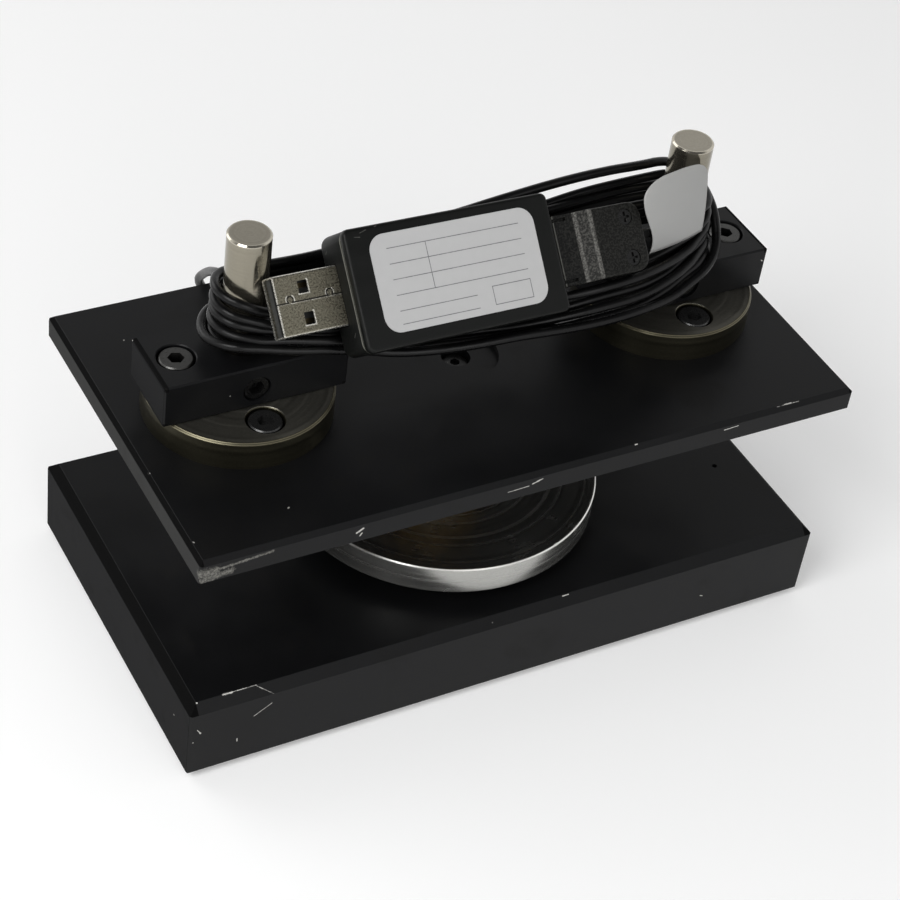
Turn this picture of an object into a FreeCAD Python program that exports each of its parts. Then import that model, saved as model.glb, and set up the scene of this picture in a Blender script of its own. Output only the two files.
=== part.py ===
import FreeCAD, Part
import math
import os

from FreeCAD import Placement, Rotation, Vector

# Load cell test fixture.
#
# Two rectangular plates of the same outline lie one above the other. Between them an S-beam load
# cell stands on a round platen and carries the top plate. Two steel flanges are bolted to the top
# plate, and across each lies a clamp block that holds an upright post. The load cell's cable is
# wound round both posts and ends in a connector, plugged into a readout module with a USB plug,
# which leans on the windings.
#
# Millimetres, +Z up. X runs along the plates, Y from front to back. The origin is the middle of
# the base plate's underside.

# ---- driving dimensions ------------------------------------------------------------------------

plate_length = 152.4
plate_depth = 80.6
plate_corner = 0.5          # break on the plates' upright edges

base_thickness = 20.6
base_chamfer = 2.0

spacer_dia = 50.0
spacer_height = 3.8

platen_dia = 69.6
platen_thickness = 6.3
platen_edge = 0.25

cell_width = 17.5           # load cell, along X
cell_depth = 6.6            # along Y
cell_height = 19.05
cell_slot = 1.0             # height of the two saw cuts that make the S
cell_arm = 4.4              # thickness of the end arms
cell_wall = 2.6             # wall left at the blind end of each cut
cell_bore = 4.4             # the double bore of the sensing beam
cell_bore_pitch = 5.6
boss_dia = 10.0             # washer-like bosses above and below the cell
boss_height = 2.75

top_thickness = 6.2
top_chamfer = 1.0
pocket_dia = 18.3           # shallow recess in the middle of the top plate
pocket_depth = 1.2

post_pitch = 101.6          # between the two posts' axes
post_dia = 9.0
post_top = 104.7
post_chamfer = 0.3

flange_dia = 39.4
flange_height = 6.5
flange_chamfer = 0.4
flange_screw_offset = 13.0  # along Y, either side of the post

clamp_length = 40.0
clamp_depth = 17.0
clamp_height = 9.9
clamp_edge = 0.35
clamp_screw_offset = 14.1   # along X, either side of the post
set_screw_height = 4.35     # its axis above the clamp's foot
hole_rim = 0.2              # break on the rims of the counterbores

# Socket head screws: thread, head diameter, head height, hexagon across flats.
M3_LOW = (3.0, 5.5, 2.0, 2.0)
M3 = (3.0, 5.5, 3.0, 2.5)
M4 = (4.0, 7.0, 4.0, 3.0)
M6_SET = (6.0, 6.0, 3.6, 3.0)
M4_CLEARANCE = 4.3
M4_COUNTERBORE = 8.0

# Readout module, in its own axes: u from the USB plug's mouth along the module, v up its face,
# n out of the face. Zero is the middle of the plug's upper side, at the mouth.
module_mouth = Vector(-49.7, -12.3, 94.9)
module_tilt = 46.8          # lean of the face from lying flat
module_yaw = 1.9
module_pitch = 3.0          # drop towards the connector end
module_start, module_end = 14.0, 60.6
module_width = 24.4
module_face, module_back = 6.05, -5.95
module_lid = 1.9
module_wall = 1.6
module_round = 2.2
label_length, label_width, label_thickness = 37.5, 19.5, 0.15
label_round = 3.4
label_shift = (0.2, 0.35)   # the label sits a little off the middle of the face

usb_width, usb_height, usb_skin = 12.0, 4.5, 0.3
usb_inside = 5.0            # length of the plug held inside the module
usb_shift = 0.3             # the plug lies a little off the module's middle, along v

connector_start, connector_end = 62.4, 82.8
connector_width = 14.5
connector_front, connector_rear = 6.2, 9.0    # thickness before and behind the slope
slope_start, slope_end = 67.7, 70.6
connector_round = 3.0
connector_screw_u, connector_screw_v = 78.9, 4.25

# Sensor cable.
cable_dia = 2.0
gland_dia, gland_length, gland_x = 3.6, 3.0, -6.2
hank_height = 14.1
hank_left, hank_right = 8.4, 10.0             # outer radius of the winding at each post
hank_front = -20.5                            # how far the front runs bow out
hank_front_height = 9.6                       # the front runs lie lower than the back ones
hank_gap = 0.4                                # between the winding and the posts
tail_length = 5.0

flag_thickness = 0.3
flag_corner = (35.9, -12.0)                   # lower left corner of the flag label
flag_yaw = 14.0                               # its turn towards the right post
flag_round = 0.19                             # its upper corners, as a share of its width
flag_bow = [                                  # points of its back face, in rows from foot to top
    [(35.9, -12.0, 87.5), (41.0, -11.3, 87.5), (46.2, -10.2, 87.5), (51.0, -8.7, 87.5)],
    [(35.4, -12.0, 93.0), (40.9, -11.2, 93.0), (46.3, -9.8, 93.0), (51.1, -8.1, 93.0)],
    [(33.2, -11.3, 98.4), (39.6, -10.3, 98.8), (46.2, -8.6, 98.6), (51.3, -6.8, 98.0)],
    [(33.6, -9.6, 104.2), (40.3, -8.7, 104.8), (46.0, -7.2, 104.2), (51.0, -5.8, 102.6)],
]

# ---- heights that follow -----------------------------------------------------------------------

z_spacer = base_thickness
z_platen = z_spacer + spacer_height
z_boss = z_platen + platen_thickness
z_cell = z_boss + boss_height
z_cell_middle = z_cell + cell_height / 2
z_upper_boss = z_cell + cell_height
z_top_plate = z_upper_boss + boss_height
z_flange = z_top_plate + top_thickness
z_clamp = z_flange + flange_height
z_hank = z_clamp + clamp_height
post_x = post_pitch / 2

UP = Vector(0, 0, 1)
SIDES = {"left": -1, "right": 1}
os.makedirs("parts", exist_ok=True)


# ---- helpers -----------------------------------------------------------------------------------

def save(name, *shapes):
    """Write one node; several solids of the same kind share it."""
    shape = shapes[0] if len(shapes) == 1 else Part.makeCompound(list(shapes))
    assert shape.isValid(), name
    shape.exportStep("parts/" + name + ".step")
    print(f"{name}: {len(shape.Solids)} solid(s), {shape.Volume:.1f} mm3")


def block(x, y, z):
    """A box from its three (low, high) spans."""
    size = [high - low for low, high in (x, y, z)]
    return Part.makeBox(*size, Vector(x[0], y[0], z[0]))


def rod(dia, x, y, z0, z1):
    """An upright cylinder."""
    return Part.makeCylinder(dia / 2, z1 - z0, Vector(x, y, z0), UP)


def edges_where(shape, test):
    return [edge for edge in shape.Edges if test(edge.BoundBox)]


def upright(box):
    return box.XLength < 1e-6 and box.YLength < 1e-6


def at_height(z):
    return lambda box: abs(box.ZMin - z) < 1e-6 and abs(box.ZMax - z) < 1e-6


def rounded_slab(u, v, n, radius):
    """A box whose corners, seen along its third axis, are rounded."""
    slab = block(u, v, n)
    return slab.makeFillet(radius, edges_where(slab, upright))


def hexagon(flats, z0, z1):
    """A hexagon key socket on the Z axis."""
    radius = flats / math.sqrt(3)
    corners = [Vector(radius * math.cos(math.radians(60 * k)), radius * math.sin(math.radians(60 * k)), z0)
               for k in range(7)]
    return Part.Face(Part.makePolygon(corners)).extrude(Vector(0, 0, z1 - z0))


def cap_screw(size, length):
    """A socket head screw, its head's seat at the origin and its shank pointing down."""
    thread, head, height, flats = size
    top = rod(head, 0, 0, 0, height)
    top = top.makeChamfer(0.25, edges_where(top, at_height(height)))
    screw = top.fuse(rod(thread, 0, 0, -length, 0)).removeSplitter()
    return screw.cut(hexagon(flats, height * 0.45, height))


def placed(shape, x, y, z, flip=False, bearing=0):
    """A copy of a shape moved to a place, turned upside down if it goes in from below. The bearing
    is where its key socket happens to have come to rest."""
    turn = Rotation(UP, bearing) * Rotation(Vector(1, 0, 0), 180 if flip else 0)
    moved = shape.copy()
    moved.Placement = Placement(Vector(x, y, z), turn)
    return moved


def broken_rims(shape, z):
    """Break the rims of the round holes in a top face."""
    rims = edges_where(shape, lambda box: at_height(z)(box) and abs(box.XLength - M4_COUNTERBORE) < 1e-3)
    return shape.makeChamfer(hole_rim, rims)


def plate(z, thickness, chamfer):
    """A rectangular plate with a chamfer round both faces and broken upright edges."""
    spans = (-plate_length / 2, plate_length / 2), (-plate_depth / 2, plate_depth / 2), (z, z + thickness)
    slab = block(*spans)
    rims = edges_where(slab, at_height(z)) + edges_where(slab, at_height(z + thickness))
    slab = slab.makeChamfer(chamfer, rims)
    outline = block(*spans)
    return slab.common(outline.makeChamfer(plate_corner, edges_where(outline, upright)))


# ---- base, platen and their screws -------------------------------------------------------------

platen_screw_x = 16.0
platen_screw_seat = 4.4                       # depth of the counterbores under the base
platen_screw_length = 25.0
platen_screw_tip = platen_screw_seat + platen_screw_length
platen_screws_at = [(-platen_screw_x, 0), (platen_screw_x, 0)]

base = plate(0, base_thickness, base_chamfer)
spacer = rod(spacer_dia, 0, 0, z_spacer, z_platen)
platen = rod(platen_dia, 0, 0, z_platen, z_boss)
platen = platen.makeChamfer(platen_edge, edges_where(platen, at_height(z_boss)))

for x, y in platen_screws_at:
    base = base.cut(rod(M4_COUNTERBORE, x, y, 0, platen_screw_seat))
    base = base.cut(rod(M4_CLEARANCE, x, y, 0, base_thickness))
    spacer = spacer.cut(rod(M4_CLEARANCE, x, y, z_spacer, z_platen))
    platen = platen.cut(rod(M4[0], x, y, z_platen, platen_screw_tip + 0.5))

# A small tapped hole in the base, in front of the right-hand end.
base = base.cut(rod(1.2, 65.9, -14.2, base_thickness - 5.0, base_thickness))

# The load cell's lower screw goes in from under the platen, before the platen is fixed down.
cell_screw_seat = z_platen + 3.3
platen = platen.cut(rod(6.0, 0, 0, z_platen, cell_screw_seat))
platen = platen.cut(rod(3.2, 0, 0, z_platen, z_boss))

save("base_plate", base)
save("base_spacer", spacer)
save("lower_platen", platen)
save("platen_screws", *[placed(cap_screw(M4, platen_screw_length), x, y, platen_screw_seat, flip=True)
                        for x, y in platen_screws_at])


# ---- S-beam load cell --------------------------------------------------------------------------

def load_cell():
    """A block cut from both sides, so that its arms and middle beam make an S, with a double bore
    through the beam where the strain gauges sit."""
    half = cell_width / 2
    body = block((-half, half), (-cell_depth / 2, cell_depth / 2), (z_cell, z_upper_boss))
    body = body.makeFillet(1.2, edges_where(body, lambda box: box.XLength < 1e-6 and box.ZLength < 1e-6))
    through = (-cell_depth, cell_depth)
    lower = z_cell + cell_arm
    upper = z_upper_boss - cell_arm - cell_slot
    body = body.cut(block((-half + cell_wall, half + 1), through, (lower, lower + cell_slot)))
    body = body.cut(block((-half - 1, half - cell_wall), through, (upper, upper + cell_slot)))
    for x in (-cell_bore_pitch / 2, cell_bore_pitch / 2):
        start = Vector(x, -cell_depth, z_cell_middle)
        hole = Part.makeCylinder(cell_bore / 2, 2 * cell_depth, start, Vector(0, 1, 0))
        body = body.cut(hole)
    neck = block((-cell_bore_pitch / 2, cell_bore_pitch / 2), through, (z_cell_middle - 1, z_cell_middle + 1))
    body = body.cut(neck)
    body = body.cut(rod(3.0, 0, 0, z_cell, z_cell + cell_arm))
    return body.cut(rod(3.0, 0, 0, z_upper_boss - cell_arm, z_upper_boss))


def gauge_cover(y0, y1):
    """A thin cover with round ends that closes the double bore on one side."""
    ends = [Part.makeCylinder(cell_bore / 2, y1 - y0, Vector(x, y0, z_cell_middle), Vector(0, 1, 0))
            for x in (-cell_bore_pitch / 2, cell_bore_pitch / 2)]
    middle = block((-cell_bore_pitch / 2, cell_bore_pitch / 2), (y0, y1), (z_cell_middle - 1, z_cell_middle + 1))
    return ends[0].fuse([middle, ends[1]]).removeSplitter()


def boss(z):
    """A washer-like boss between the cell and the part that it meets."""
    return rod(boss_dia, 0, 0, z, z + boss_height).cut(rod(3.2, 0, 0, z, z + boss_height))


cell_back = cell_depth / 2
gland = Part.makeCylinder(gland_dia / 2, gland_length, Vector(gland_x, cell_back, z_cell_middle), Vector(0, 1, 0))
gland = gland.makeFillet(0.6, [edge for edge in gland.Edges if edge.BoundBox.YMin > cell_back + gland_length - 1e-6])

save("load_cell_body", load_cell())
save("gauge_covers", gauge_cover(-cell_back, -cell_back + 0.8), gauge_cover(cell_back - 0.8, cell_back))
save("load_cell_gland", gland)
save("cell_boss_lower", boss(z_boss))
save("cell_boss_upper", boss(z_upper_boss))
save("cell_screw_lower", placed(cap_screw(M3, 10.0), 0, 0, cell_screw_seat, flip=True))


# ---- top plate ---------------------------------------------------------------------------------

top_screw_seat = z_flange - 4.65              # the middle screw's head sits well down in its hole
flange_screws_at = [(side * post_x, dy) for side in SIDES.values()
                    for dy in (-flange_screw_offset, flange_screw_offset)]

top = plate(z_top_plate, top_thickness, top_chamfer)
top = top.cut(rod(pocket_dia, 0, 0, z_flange - pocket_depth, z_flange))
top = top.cut(rod(6.4, 0, 0, top_screw_seat, z_flange))
top = top.cut(rod(3.2, 0, 0, z_top_plate, z_flange))
for x, y in flange_screws_at:
    top = top.cut(rod(M4[0], x, y, z_top_plate, z_flange))

save("top_plate", top)
save("cell_screw_upper", placed(cap_screw(M3_LOW, 8.0), 0, 0, top_screw_seat))


# ---- flanges, clamp blocks and posts -----------------------------------------------------------

flange_seat = z_clamp - 4.2
clamp_seat = z_hank - 4.15
clamp_screw_length = 10.0
set_screw_z = z_clamp + set_screw_height


def flange(x):
    """A steel disc with a bore for the post, two counterbored holes and two tapped ones."""
    disc = rod(flange_dia, x, 0, z_flange, z_clamp)
    disc = disc.makeChamfer(flange_chamfer, edges_where(disc, at_height(z_clamp)))
    disc = disc.cut(rod(post_dia, x, 0, z_flange, z_clamp))
    for dy in (-flange_screw_offset, flange_screw_offset):
        disc = disc.cut(rod(M4_COUNTERBORE, x, dy, flange_seat, z_clamp))
        disc = disc.cut(rod(M4_CLEARANCE, x, dy, z_flange, z_clamp))
    for dx in (-clamp_screw_offset, clamp_screw_offset):
        disc = disc.cut(rod(M4[0], x + dx, 0, clamp_seat - clamp_screw_length - 0.4, z_clamp))
    return broken_rims(disc, z_clamp)


def clamp(x):
    """A block across the flange, bored for the post, with a set screw in its front."""
    body = block((x - clamp_length / 2, x + clamp_length / 2), (-clamp_depth / 2, clamp_depth / 2), (z_clamp, z_hank))
    body = body.makeChamfer(clamp_edge, body.Edges)
    body = body.cut(rod(post_dia, x, 0, z_clamp, z_hank))
    for dx in (-clamp_screw_offset, clamp_screw_offset):
        body = body.cut(rod(M4_COUNTERBORE, x + dx, 0, clamp_seat, z_hank))
        body = body.cut(rod(M4_CLEARANCE, x + dx, 0, z_clamp, z_hank))
    front = Vector(x, -clamp_depth / 2 - 1, set_screw_z)
    body = body.cut(Part.makeCylinder(M6_SET[0] / 2, clamp_depth / 2 + 1, front, Vector(0, 1, 0)))
    return broken_rims(body, z_hank)


def post(x):
    bar = rod(post_dia, x, 0, z_flange, post_top)
    return bar.makeChamfer(post_chamfer, edges_where(bar, at_height(post_top)))


def set_screw(x):
    """A headless screw that bears on the post; its key socket faces the front."""
    thread, _, length, flats = M6_SET
    screw = rod(thread, 0, 0, 0, length)
    screw = screw.makeChamfer(0.4, edges_where(screw, at_height(length)))
    screw = screw.cut(hexagon(flats, length * 0.45, length))
    screw.Placement = Placement(Vector(x, -post_dia / 2, set_screw_z), Rotation(Vector(1, 0, 0), 90))
    return screw


for side, sign in SIDES.items():
    save(side + "_flange", flange(sign * post_x))
    save(side + "_clamp", clamp(sign * post_x))
    save(side + "_post", post(sign * post_x))
save("flange_screws", *[placed(cap_screw(M4, 8.0), x, y, flange_seat, bearing=7 * x + 3 * y)
                        for x, y in flange_screws_at])
clamp_screws_at = [sign * post_x + dx for sign in SIDES.values()
                   for dx in (-clamp_screw_offset, clamp_screw_offset)]
save("clamp_screws", *[placed(cap_screw(M4, clamp_screw_length), x, 0, clamp_seat, bearing=60 + 0.3 * x)
                       for x in clamp_screws_at])
save("set_screws", *[set_screw(sign * post_x) for sign in SIDES.values()])


# ---- readout module ----------------------------------------------------------------------------

lean = Rotation(UP, module_yaw) * Rotation(Vector(0, 1, 0), module_pitch)
lean = lean * Rotation(Vector(1, 0, 0), module_tilt)
module_place = Placement(module_mouth, lean)


def on_module(shape):
    """Move a shape from the module's own axes to where the module leans."""
    moved = shape.copy()
    moved.Placement = module_place.multiply(moved.Placement)
    return moved


half_width = module_width / 2
lid_split = module_face - module_lid
usb_middle = -usb_height / 2
usb_low, usb_high = usb_shift - usb_width / 2, usb_shift + usb_width / 2
usb_slot = block((module_start - 1, module_start + usb_inside + 0.5), (usb_low, usb_high), (-usb_height, 0))
socket_width, socket_height = 12.6, 5.4
socket_slot = block((module_end - module_wall - 1, module_end + 1), (-socket_width / 2, socket_width / 2),
                    (-socket_height / 2 + 0.2, socket_height / 2 + 0.2))


def module_lid_shell():
    """The flat front of the housing, with a soft edge and a lip that drops inside the rear shell."""
    lid = rounded_slab((module_start, module_end), (-half_width, half_width), (lid_split, module_face), module_round)
    lid = lid.makeFillet(0.7, edges_where(lid, at_height(module_face)))
    inset = module_wall + 0.1
    lip = rounded_slab((module_start + inset, module_end - inset), (-half_width + inset, half_width - inset),
                       (lid_split - 1.2, lid_split), 1.0)
    hollow = rounded_slab((module_start + inset + 1, module_end - inset - 1),
                          (-half_width + inset + 1, half_width - inset - 1), (lid_split - 1.3, lid_split), 0.8)
    return lid.fuse(lip.cut(hollow)).removeSplitter()


def module_rear_shell():
    """The tub of the housing, open towards the lid, with a slot in each end wall."""
    tub = rounded_slab((module_start, module_end), (-half_width, half_width), (module_back, lid_split), module_round)
    tub = tub.makeFillet(module_round - 0.2, edges_where(tub, at_height(module_back)))
    cavity = rounded_slab((module_start + module_wall, module_end - module_wall),
                          (-half_width + module_wall, half_width - module_wall),
                          (module_back + module_wall, lid_split + 1), 1.0)
    return tub.cut(cavity).cut(usb_slot).cut(socket_slot)


def usb_skin_shell():
    """The folded steel skin of a USB-A plug, with two windows in each broad side."""
    length = module_start + usb_inside
    outer = block((0, length), (usb_low, usb_high), (-usb_height, 0))
    outer = outer.makeFillet(0.45, edges_where(outer, lambda box: box.YLength < 1e-6 and box.ZLength < 1e-6))
    inner = block((-1, length + 1), (usb_low + usb_skin, usb_high - usb_skin), (-usb_height + usb_skin, -usb_skin))
    skin = outer.cut(inner)
    for v in (usb_shift - 3.1, usb_shift + 3.1):
        skin = skin.cut(block((5.1, 7.2), (v - 1.25, v + 1.25), (-usb_height - 1, 1)))
    return skin


tongue = block((0.6, module_start + usb_inside), (usb_low + usb_skin, usb_high - usb_skin),
               (-usb_height + usb_skin, -usb_height + 2.25))
contact_top = -usb_height + 2.25
contacts = []
for v, start in ((-3.5, 1.2), (-1.0, 2.2), (1.0, 2.2), (3.5, 1.2)):
    middle = usb_shift + v
    contacts.append(block((start, 10.0), (middle - 0.5, middle + 0.5), (contact_top, contact_top + 0.15)))

board = block((module_start + usb_inside, module_end - module_wall - 1.0),
              (-half_width + module_wall, half_width - module_wall), (-2.9, -1.3))
chips = [block((u, u + a), (v, v + b), (-1.3, -1.3 + c))
         for u, v, a, b, c in ((22.0, -5.0, 9.0, 9.0, 1.2), (34.5, 1.0, 6.0, 5.0, 1.0), (34.5, -7.0, 7.0, 5.0, 1.4))]
socket = block((module_end - module_wall - 6.0, connector_start), (-socket_width / 2, socket_width / 2),
               (-socket_height / 2 + 0.2, socket_height / 2 + 0.2))
socket = socket.cut(block((connector_start - 5.0, connector_start + 1), (-5.2, 5.2), (-1.0, 1.4)))
socket = socket.cut(board)
face_middle = (module_start + module_end) / 2
label = rounded_slab((face_middle - label_length / 2, face_middle + label_length / 2),
                     (-label_width / 2, label_width / 2), (module_face, module_face + label_thickness), label_round)
label.translate(Vector(label_shift[0], label_shift[1], 0))

save("module_front_shell", on_module(module_lid_shell()))
save("module_rear_shell", on_module(module_rear_shell()))
save("module_label", on_module(label))
save("module_circuit_board", on_module(board.fuse(chips)))
save("usb_plug_skin", on_module(usb_skin_shell()))
save("usb_plug_tongue", on_module(tongue))
save("usb_plug_contacts", *[on_module(strip) for strip in contacts])
save("sensor_socket", on_module(socket))


# ---- sensor connector --------------------------------------------------------------------------

def connector_half(sign):
    """One half of the connector's hood. Thin at the front, it slopes up to a thicker rear, whose
    corners are rounded; the halves meet on the plane n = 0."""
    front, rear = connector_front / 2, connector_rear / 2
    profile = [(connector_start, 0), (connector_start, front), (slope_start, front), (slope_end, rear),
               (connector_end, rear), (connector_end, 0), (connector_start, 0)]
    face = Part.Face(Part.makePolygon([Vector(u, -connector_width / 2, sign * n) for u, n in profile]))
    half = face.extrude(Vector(0, connector_width, 0))
    corners = edges_where(half, lambda box: abs(box.XMin - connector_end) < 1e-6 and box.XLength < 1e-6
                          and box.YLength < 1e-6)
    half = half.makeFillet(connector_round, corners)
    rim = edges_where(half, lambda box: abs(box.ZMin - sign * rear) < 1e-6 and box.ZLength < 1e-6
                      and box.XMax > slope_end + 0.1)
    half = half.makeFillet(0.6, rim)
    hollow = block((connector_start + 1.2, connector_end - 1.4), (-connector_width / 2 + 1.4, connector_width / 2 - 1.4),
                   (0, 2.0) if sign > 0 else (-2.0, 0))
    mouth = block((connector_start - 1, connector_start + 1.3), (-5.4, 5.4), (-1.6, 1.6))
    exit_hole = Part.makeCylinder(cable_dia / 2, 3, Vector(connector_end - 2, 0, 0), Vector(1, 0, 0))
    half = half.cut(hollow).cut(mouth).cut(exit_hole)
    for v in (-connector_screw_v, connector_screw_v):
        half = half.cut(rod(1.6, connector_screw_u, v, -5, 5))
        if sign > 0:
            half = half.cut(rod(3.4, connector_screw_u, v, rear - 1.1, rear + 1))
    for v in (-6.3, 6.3):
        latch = block((connector_start - 1, connector_start + 3.2), (v - 0.35, v + 0.35), (front - 0.7, front + 1))
        half = half.cut(latch if sign > 0 else latch.mirror(Vector(0, 0, 0), UP))
    return half


def connector_insert():
    """The moulded block that carries the pins, held between the two halves."""
    inner = connector_width / 2 - 1.4
    body = block((connector_start + 1.3, connector_start + 9.0), (-inner, inner), (-2.0, 2.0))
    return body.fuse(block((connector_start - 4.6, connector_start + 1.3), (-5.0, 5.0), (-0.8, 1.2))).removeSplitter()


def connector_screw(v):
    """A small pan head screw with a cross recess."""
    seat = connector_rear / 2 - 1.1
    head = rod(3.2, connector_screw_u, v, seat, seat + 0.9)
    screw = head.fuse(rod(1.6, connector_screw_u, v, -3.6, seat)).removeSplitter()
    for a, b in ((1.1, 0.25), (0.25, 1.1)):
        screw = screw.cut(block((connector_screw_u - a, connector_screw_u + a), (v - b, v + b), (seat + 0.4, seat + 1)))
    return screw


save("connector_upper_hood", on_module(connector_half(1)))
save("connector_lower_hood", on_module(connector_half(-1)))
save("connector_insert", on_module(connector_insert()))
save("connector_screws", *[on_module(connector_screw(v)) for v in (-connector_screw_v, connector_screw_v)])


# ---- sensor cable ------------------------------------------------------------------------------

def cable_tube(name, route):
    """A tube of straight runs joined by tangent arcs, each as large as its two runs allow."""
    points = [Vector(*point) for point in route]
    corner = points[0]
    edges, radii = [], []
    for before, here, after in zip(points, points[1:], points[2:]):
        arriving, leaving = here - before, after - here
        turn = arriving.getAngle(leaving)
        setback = 0.45 * min(arriving.Length, leaving.Length)
        radii.append(setback / math.tan(turn / 2))
        start = here - arriving.normalize() * setback
        end = here + leaving.normalize() * setback
        bisector = (leaving - arriving).normalize()
        centre = here + bisector * (radii[-1] / math.cos(turn / 2))
        middle = centre - bisector * radii[-1]
        edges += [Part.makeLine(corner, start), Part.Arc(start, middle, end).toShape()]
        corner = end
    edges.append(Part.makeLine(corner, points[-1]))
    path = Part.Wire(edges)
    heading = (points[1] - points[0]).normalize()
    ring = Part.Wire(Part.makeCircle(cable_dia / 2, points[0], heading))
    tube = path.makePipeShell([ring], True, False)
    section = math.pi * (cable_dia / 2) ** 2
    print(f"{name}: length {path.Length:.1f}, volume ratio {tube.Volume / (section * path.Length):.4f}, "
          f"radii {[round(r, 1) for r in radii]}")
    return tube


def winding():
    """The outer shape of the turns round both posts: a long ring, bowed out at the front where the
    module pushes the runs apart, and hollowed where the module and its connector lie in it."""
    inner = post_dia / 2 + hank_gap
    left, right = Vector(-post_x, 0, z_hank), Vector(post_x, 0, z_hank)
    front_left, front_right = left + Vector(-2.9, -7.9, 0), right + Vector(3.2, -8.9, 0)
    outline = [
        Part.Arc(left + Vector(0, hank_left, 0), left - Vector(hank_left, 0, 0), front_left).toShape(),
        Part.Arc(front_left, Vector(0, hank_front, z_hank), front_right).toShape(),
        Part.Arc(front_right, right + Vector(hank_right, 0, 0), right + Vector(0, hank_right, 0)).toShape(),
        Part.makeLine(right + Vector(0, hank_right, 0), left + Vector(0, hank_left, 0)),
    ]
    opening = [
        Part.Arc(left + Vector(0, inner, 0), left - Vector(inner, 0, 0), left - Vector(0, inner, 0)).toShape(),
        Part.makeLine(left - Vector(0, inner, 0), right - Vector(0, inner, 0)),
        Part.Arc(right - Vector(0, inner, 0), right + Vector(inner, 0, 0), right + Vector(0, inner, 0)).toShape(),
        Part.makeLine(right + Vector(0, inner, 0), left + Vector(0, inner, 0)),
    ]
    rise = Vector(0, 0, hank_height)
    ring = Part.Face(Part.Wire(outline)).extrude(rise).cut(Part.Face(Part.Wire(opening)).extrude(rise))
    room = 0.1
    for u, v, n in (((-room, module_start), usb_high, (-usb_height - room, 3)),
                    ((module_start, module_end), half_width, (module_back - room, 20)),
                    ((module_end, connector_end + tail_length), connector_width / 2, (-connector_rear / 2 - room, 20))):
        ring = ring.cut(on_module(block(u, (-v - room, v + room), n)))
    foot = Vector(flag_corner[0], flag_corner[1], z_hank + hank_front_height)
    above_front = block((-45, 45), (-40, -10.5), (foot.z, 110))
    at_flag = block((-3, 20), (-20, flag_thickness + 0.6), (0, 20))
    at_flag.Placement = Placement(foot, Rotation(UP, flag_yaw))
    return max(ring.cut(above_front).cut(at_flag).Solids, key=lambda solid: solid.Volume)


lead_route = [
    (gland_x, cell_back + gland_length, z_cell_middle),
    (gland_x, 20.0, z_cell_middle),
    (-14.0, 33.0, 44.2),
    (-26.0, 42.0, 46.8),
    (-36.0, 47.5, 51.8),
    (-40.0, 48.0, 60.8),
    (-41.5, 41.5, 68.2),
    (-44.5, 31.0, 74.5),
    (-46.5, 19.0, 81.0),
    (-50.0, 7.5, 84.5),
]
hank = winding()
lead = cable_tube("sensor_cable_lead", lead_route).cut(hank)
lead = max(lead.Solids, key=lambda solid: solid.Volume)
tail = Part.makeCylinder(cable_dia / 2, tail_length + 1.4, Vector(connector_end - 1.4, 0, 0), Vector(1, 0, 0))

save("sensor_cable_hank", hank)
save("sensor_cable_lead", lead)
save("sensor_cable_tail", on_module(tail))


# ---- flag label on the cable -------------------------------------------------------------------

def flag_label():
    """A sticker with rounded upper corners, stuck to the front runs by its foot. It stands up beside
    the right post, bends back as it rises, and its left edge curls forward."""
    surface = Part.BSplineSurface()
    surface.interpolate([[Vector(*point) for point in row] for row in flag_bow])
    inset = 1 - flag_round
    cut = flag_round * (1 - math.sqrt(0.5))
    # The outline on the surface, whose first share runs from foot to top and second from left to right.
    outline = [
        [(0, 0), (inset, 0)],
        [(inset, 0), (1 - cut, cut), (1, flag_round)],
        [(1, flag_round), (1, inset)],
        [(1, inset), (1 - cut, 1 - cut), (inset, 1)],
        [(inset, 1), (0, 1)],
        [(0, 1), (0, 0)],
    ]
    edges = []
    for piece in outline:
        curve = Part.Geom2d.Line2dSegment if len(piece) == 2 else Part.Geom2d.ArcOfCircle2d
        edges.append(curve(*[FreeCAD.Base.Vector2d(*point) for point in piece]).toShape(surface))
    sheet = Part.Face(surface, Part.Wire(edges))
    sheet.validate()
    return sheet.makeOffsetShape(flag_thickness, 0.01, fill=True)


save("flag_label", flag_label())
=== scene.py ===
"""A load cell test fixture: two black plates with an S-beam load cell between them, two clamped
posts on top, and the cell's cable wound round the posts to a readout module."""
import math
from functools import reduce

import bpy
import numpy as np
from mathutils import Euler, Matrix, Vector


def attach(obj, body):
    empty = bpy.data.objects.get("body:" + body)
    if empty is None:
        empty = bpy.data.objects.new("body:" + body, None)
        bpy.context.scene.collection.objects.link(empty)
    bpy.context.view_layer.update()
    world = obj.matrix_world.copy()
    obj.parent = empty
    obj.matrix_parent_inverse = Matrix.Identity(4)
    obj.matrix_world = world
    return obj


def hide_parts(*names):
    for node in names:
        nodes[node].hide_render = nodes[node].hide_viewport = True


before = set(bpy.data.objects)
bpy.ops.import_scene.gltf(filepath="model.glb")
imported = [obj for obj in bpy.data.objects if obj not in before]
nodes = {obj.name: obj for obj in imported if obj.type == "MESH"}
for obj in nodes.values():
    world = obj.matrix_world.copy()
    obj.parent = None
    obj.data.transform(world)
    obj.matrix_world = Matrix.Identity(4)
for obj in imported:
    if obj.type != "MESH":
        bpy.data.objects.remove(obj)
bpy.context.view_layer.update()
scene = bpy.context.scene
MM = 0.001


# ---- camera, floor and light ----
# The fixture stands on a plain pale floor, under three soft boxes and an even white sky. The
# camera looks down on it from the front left.

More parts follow.
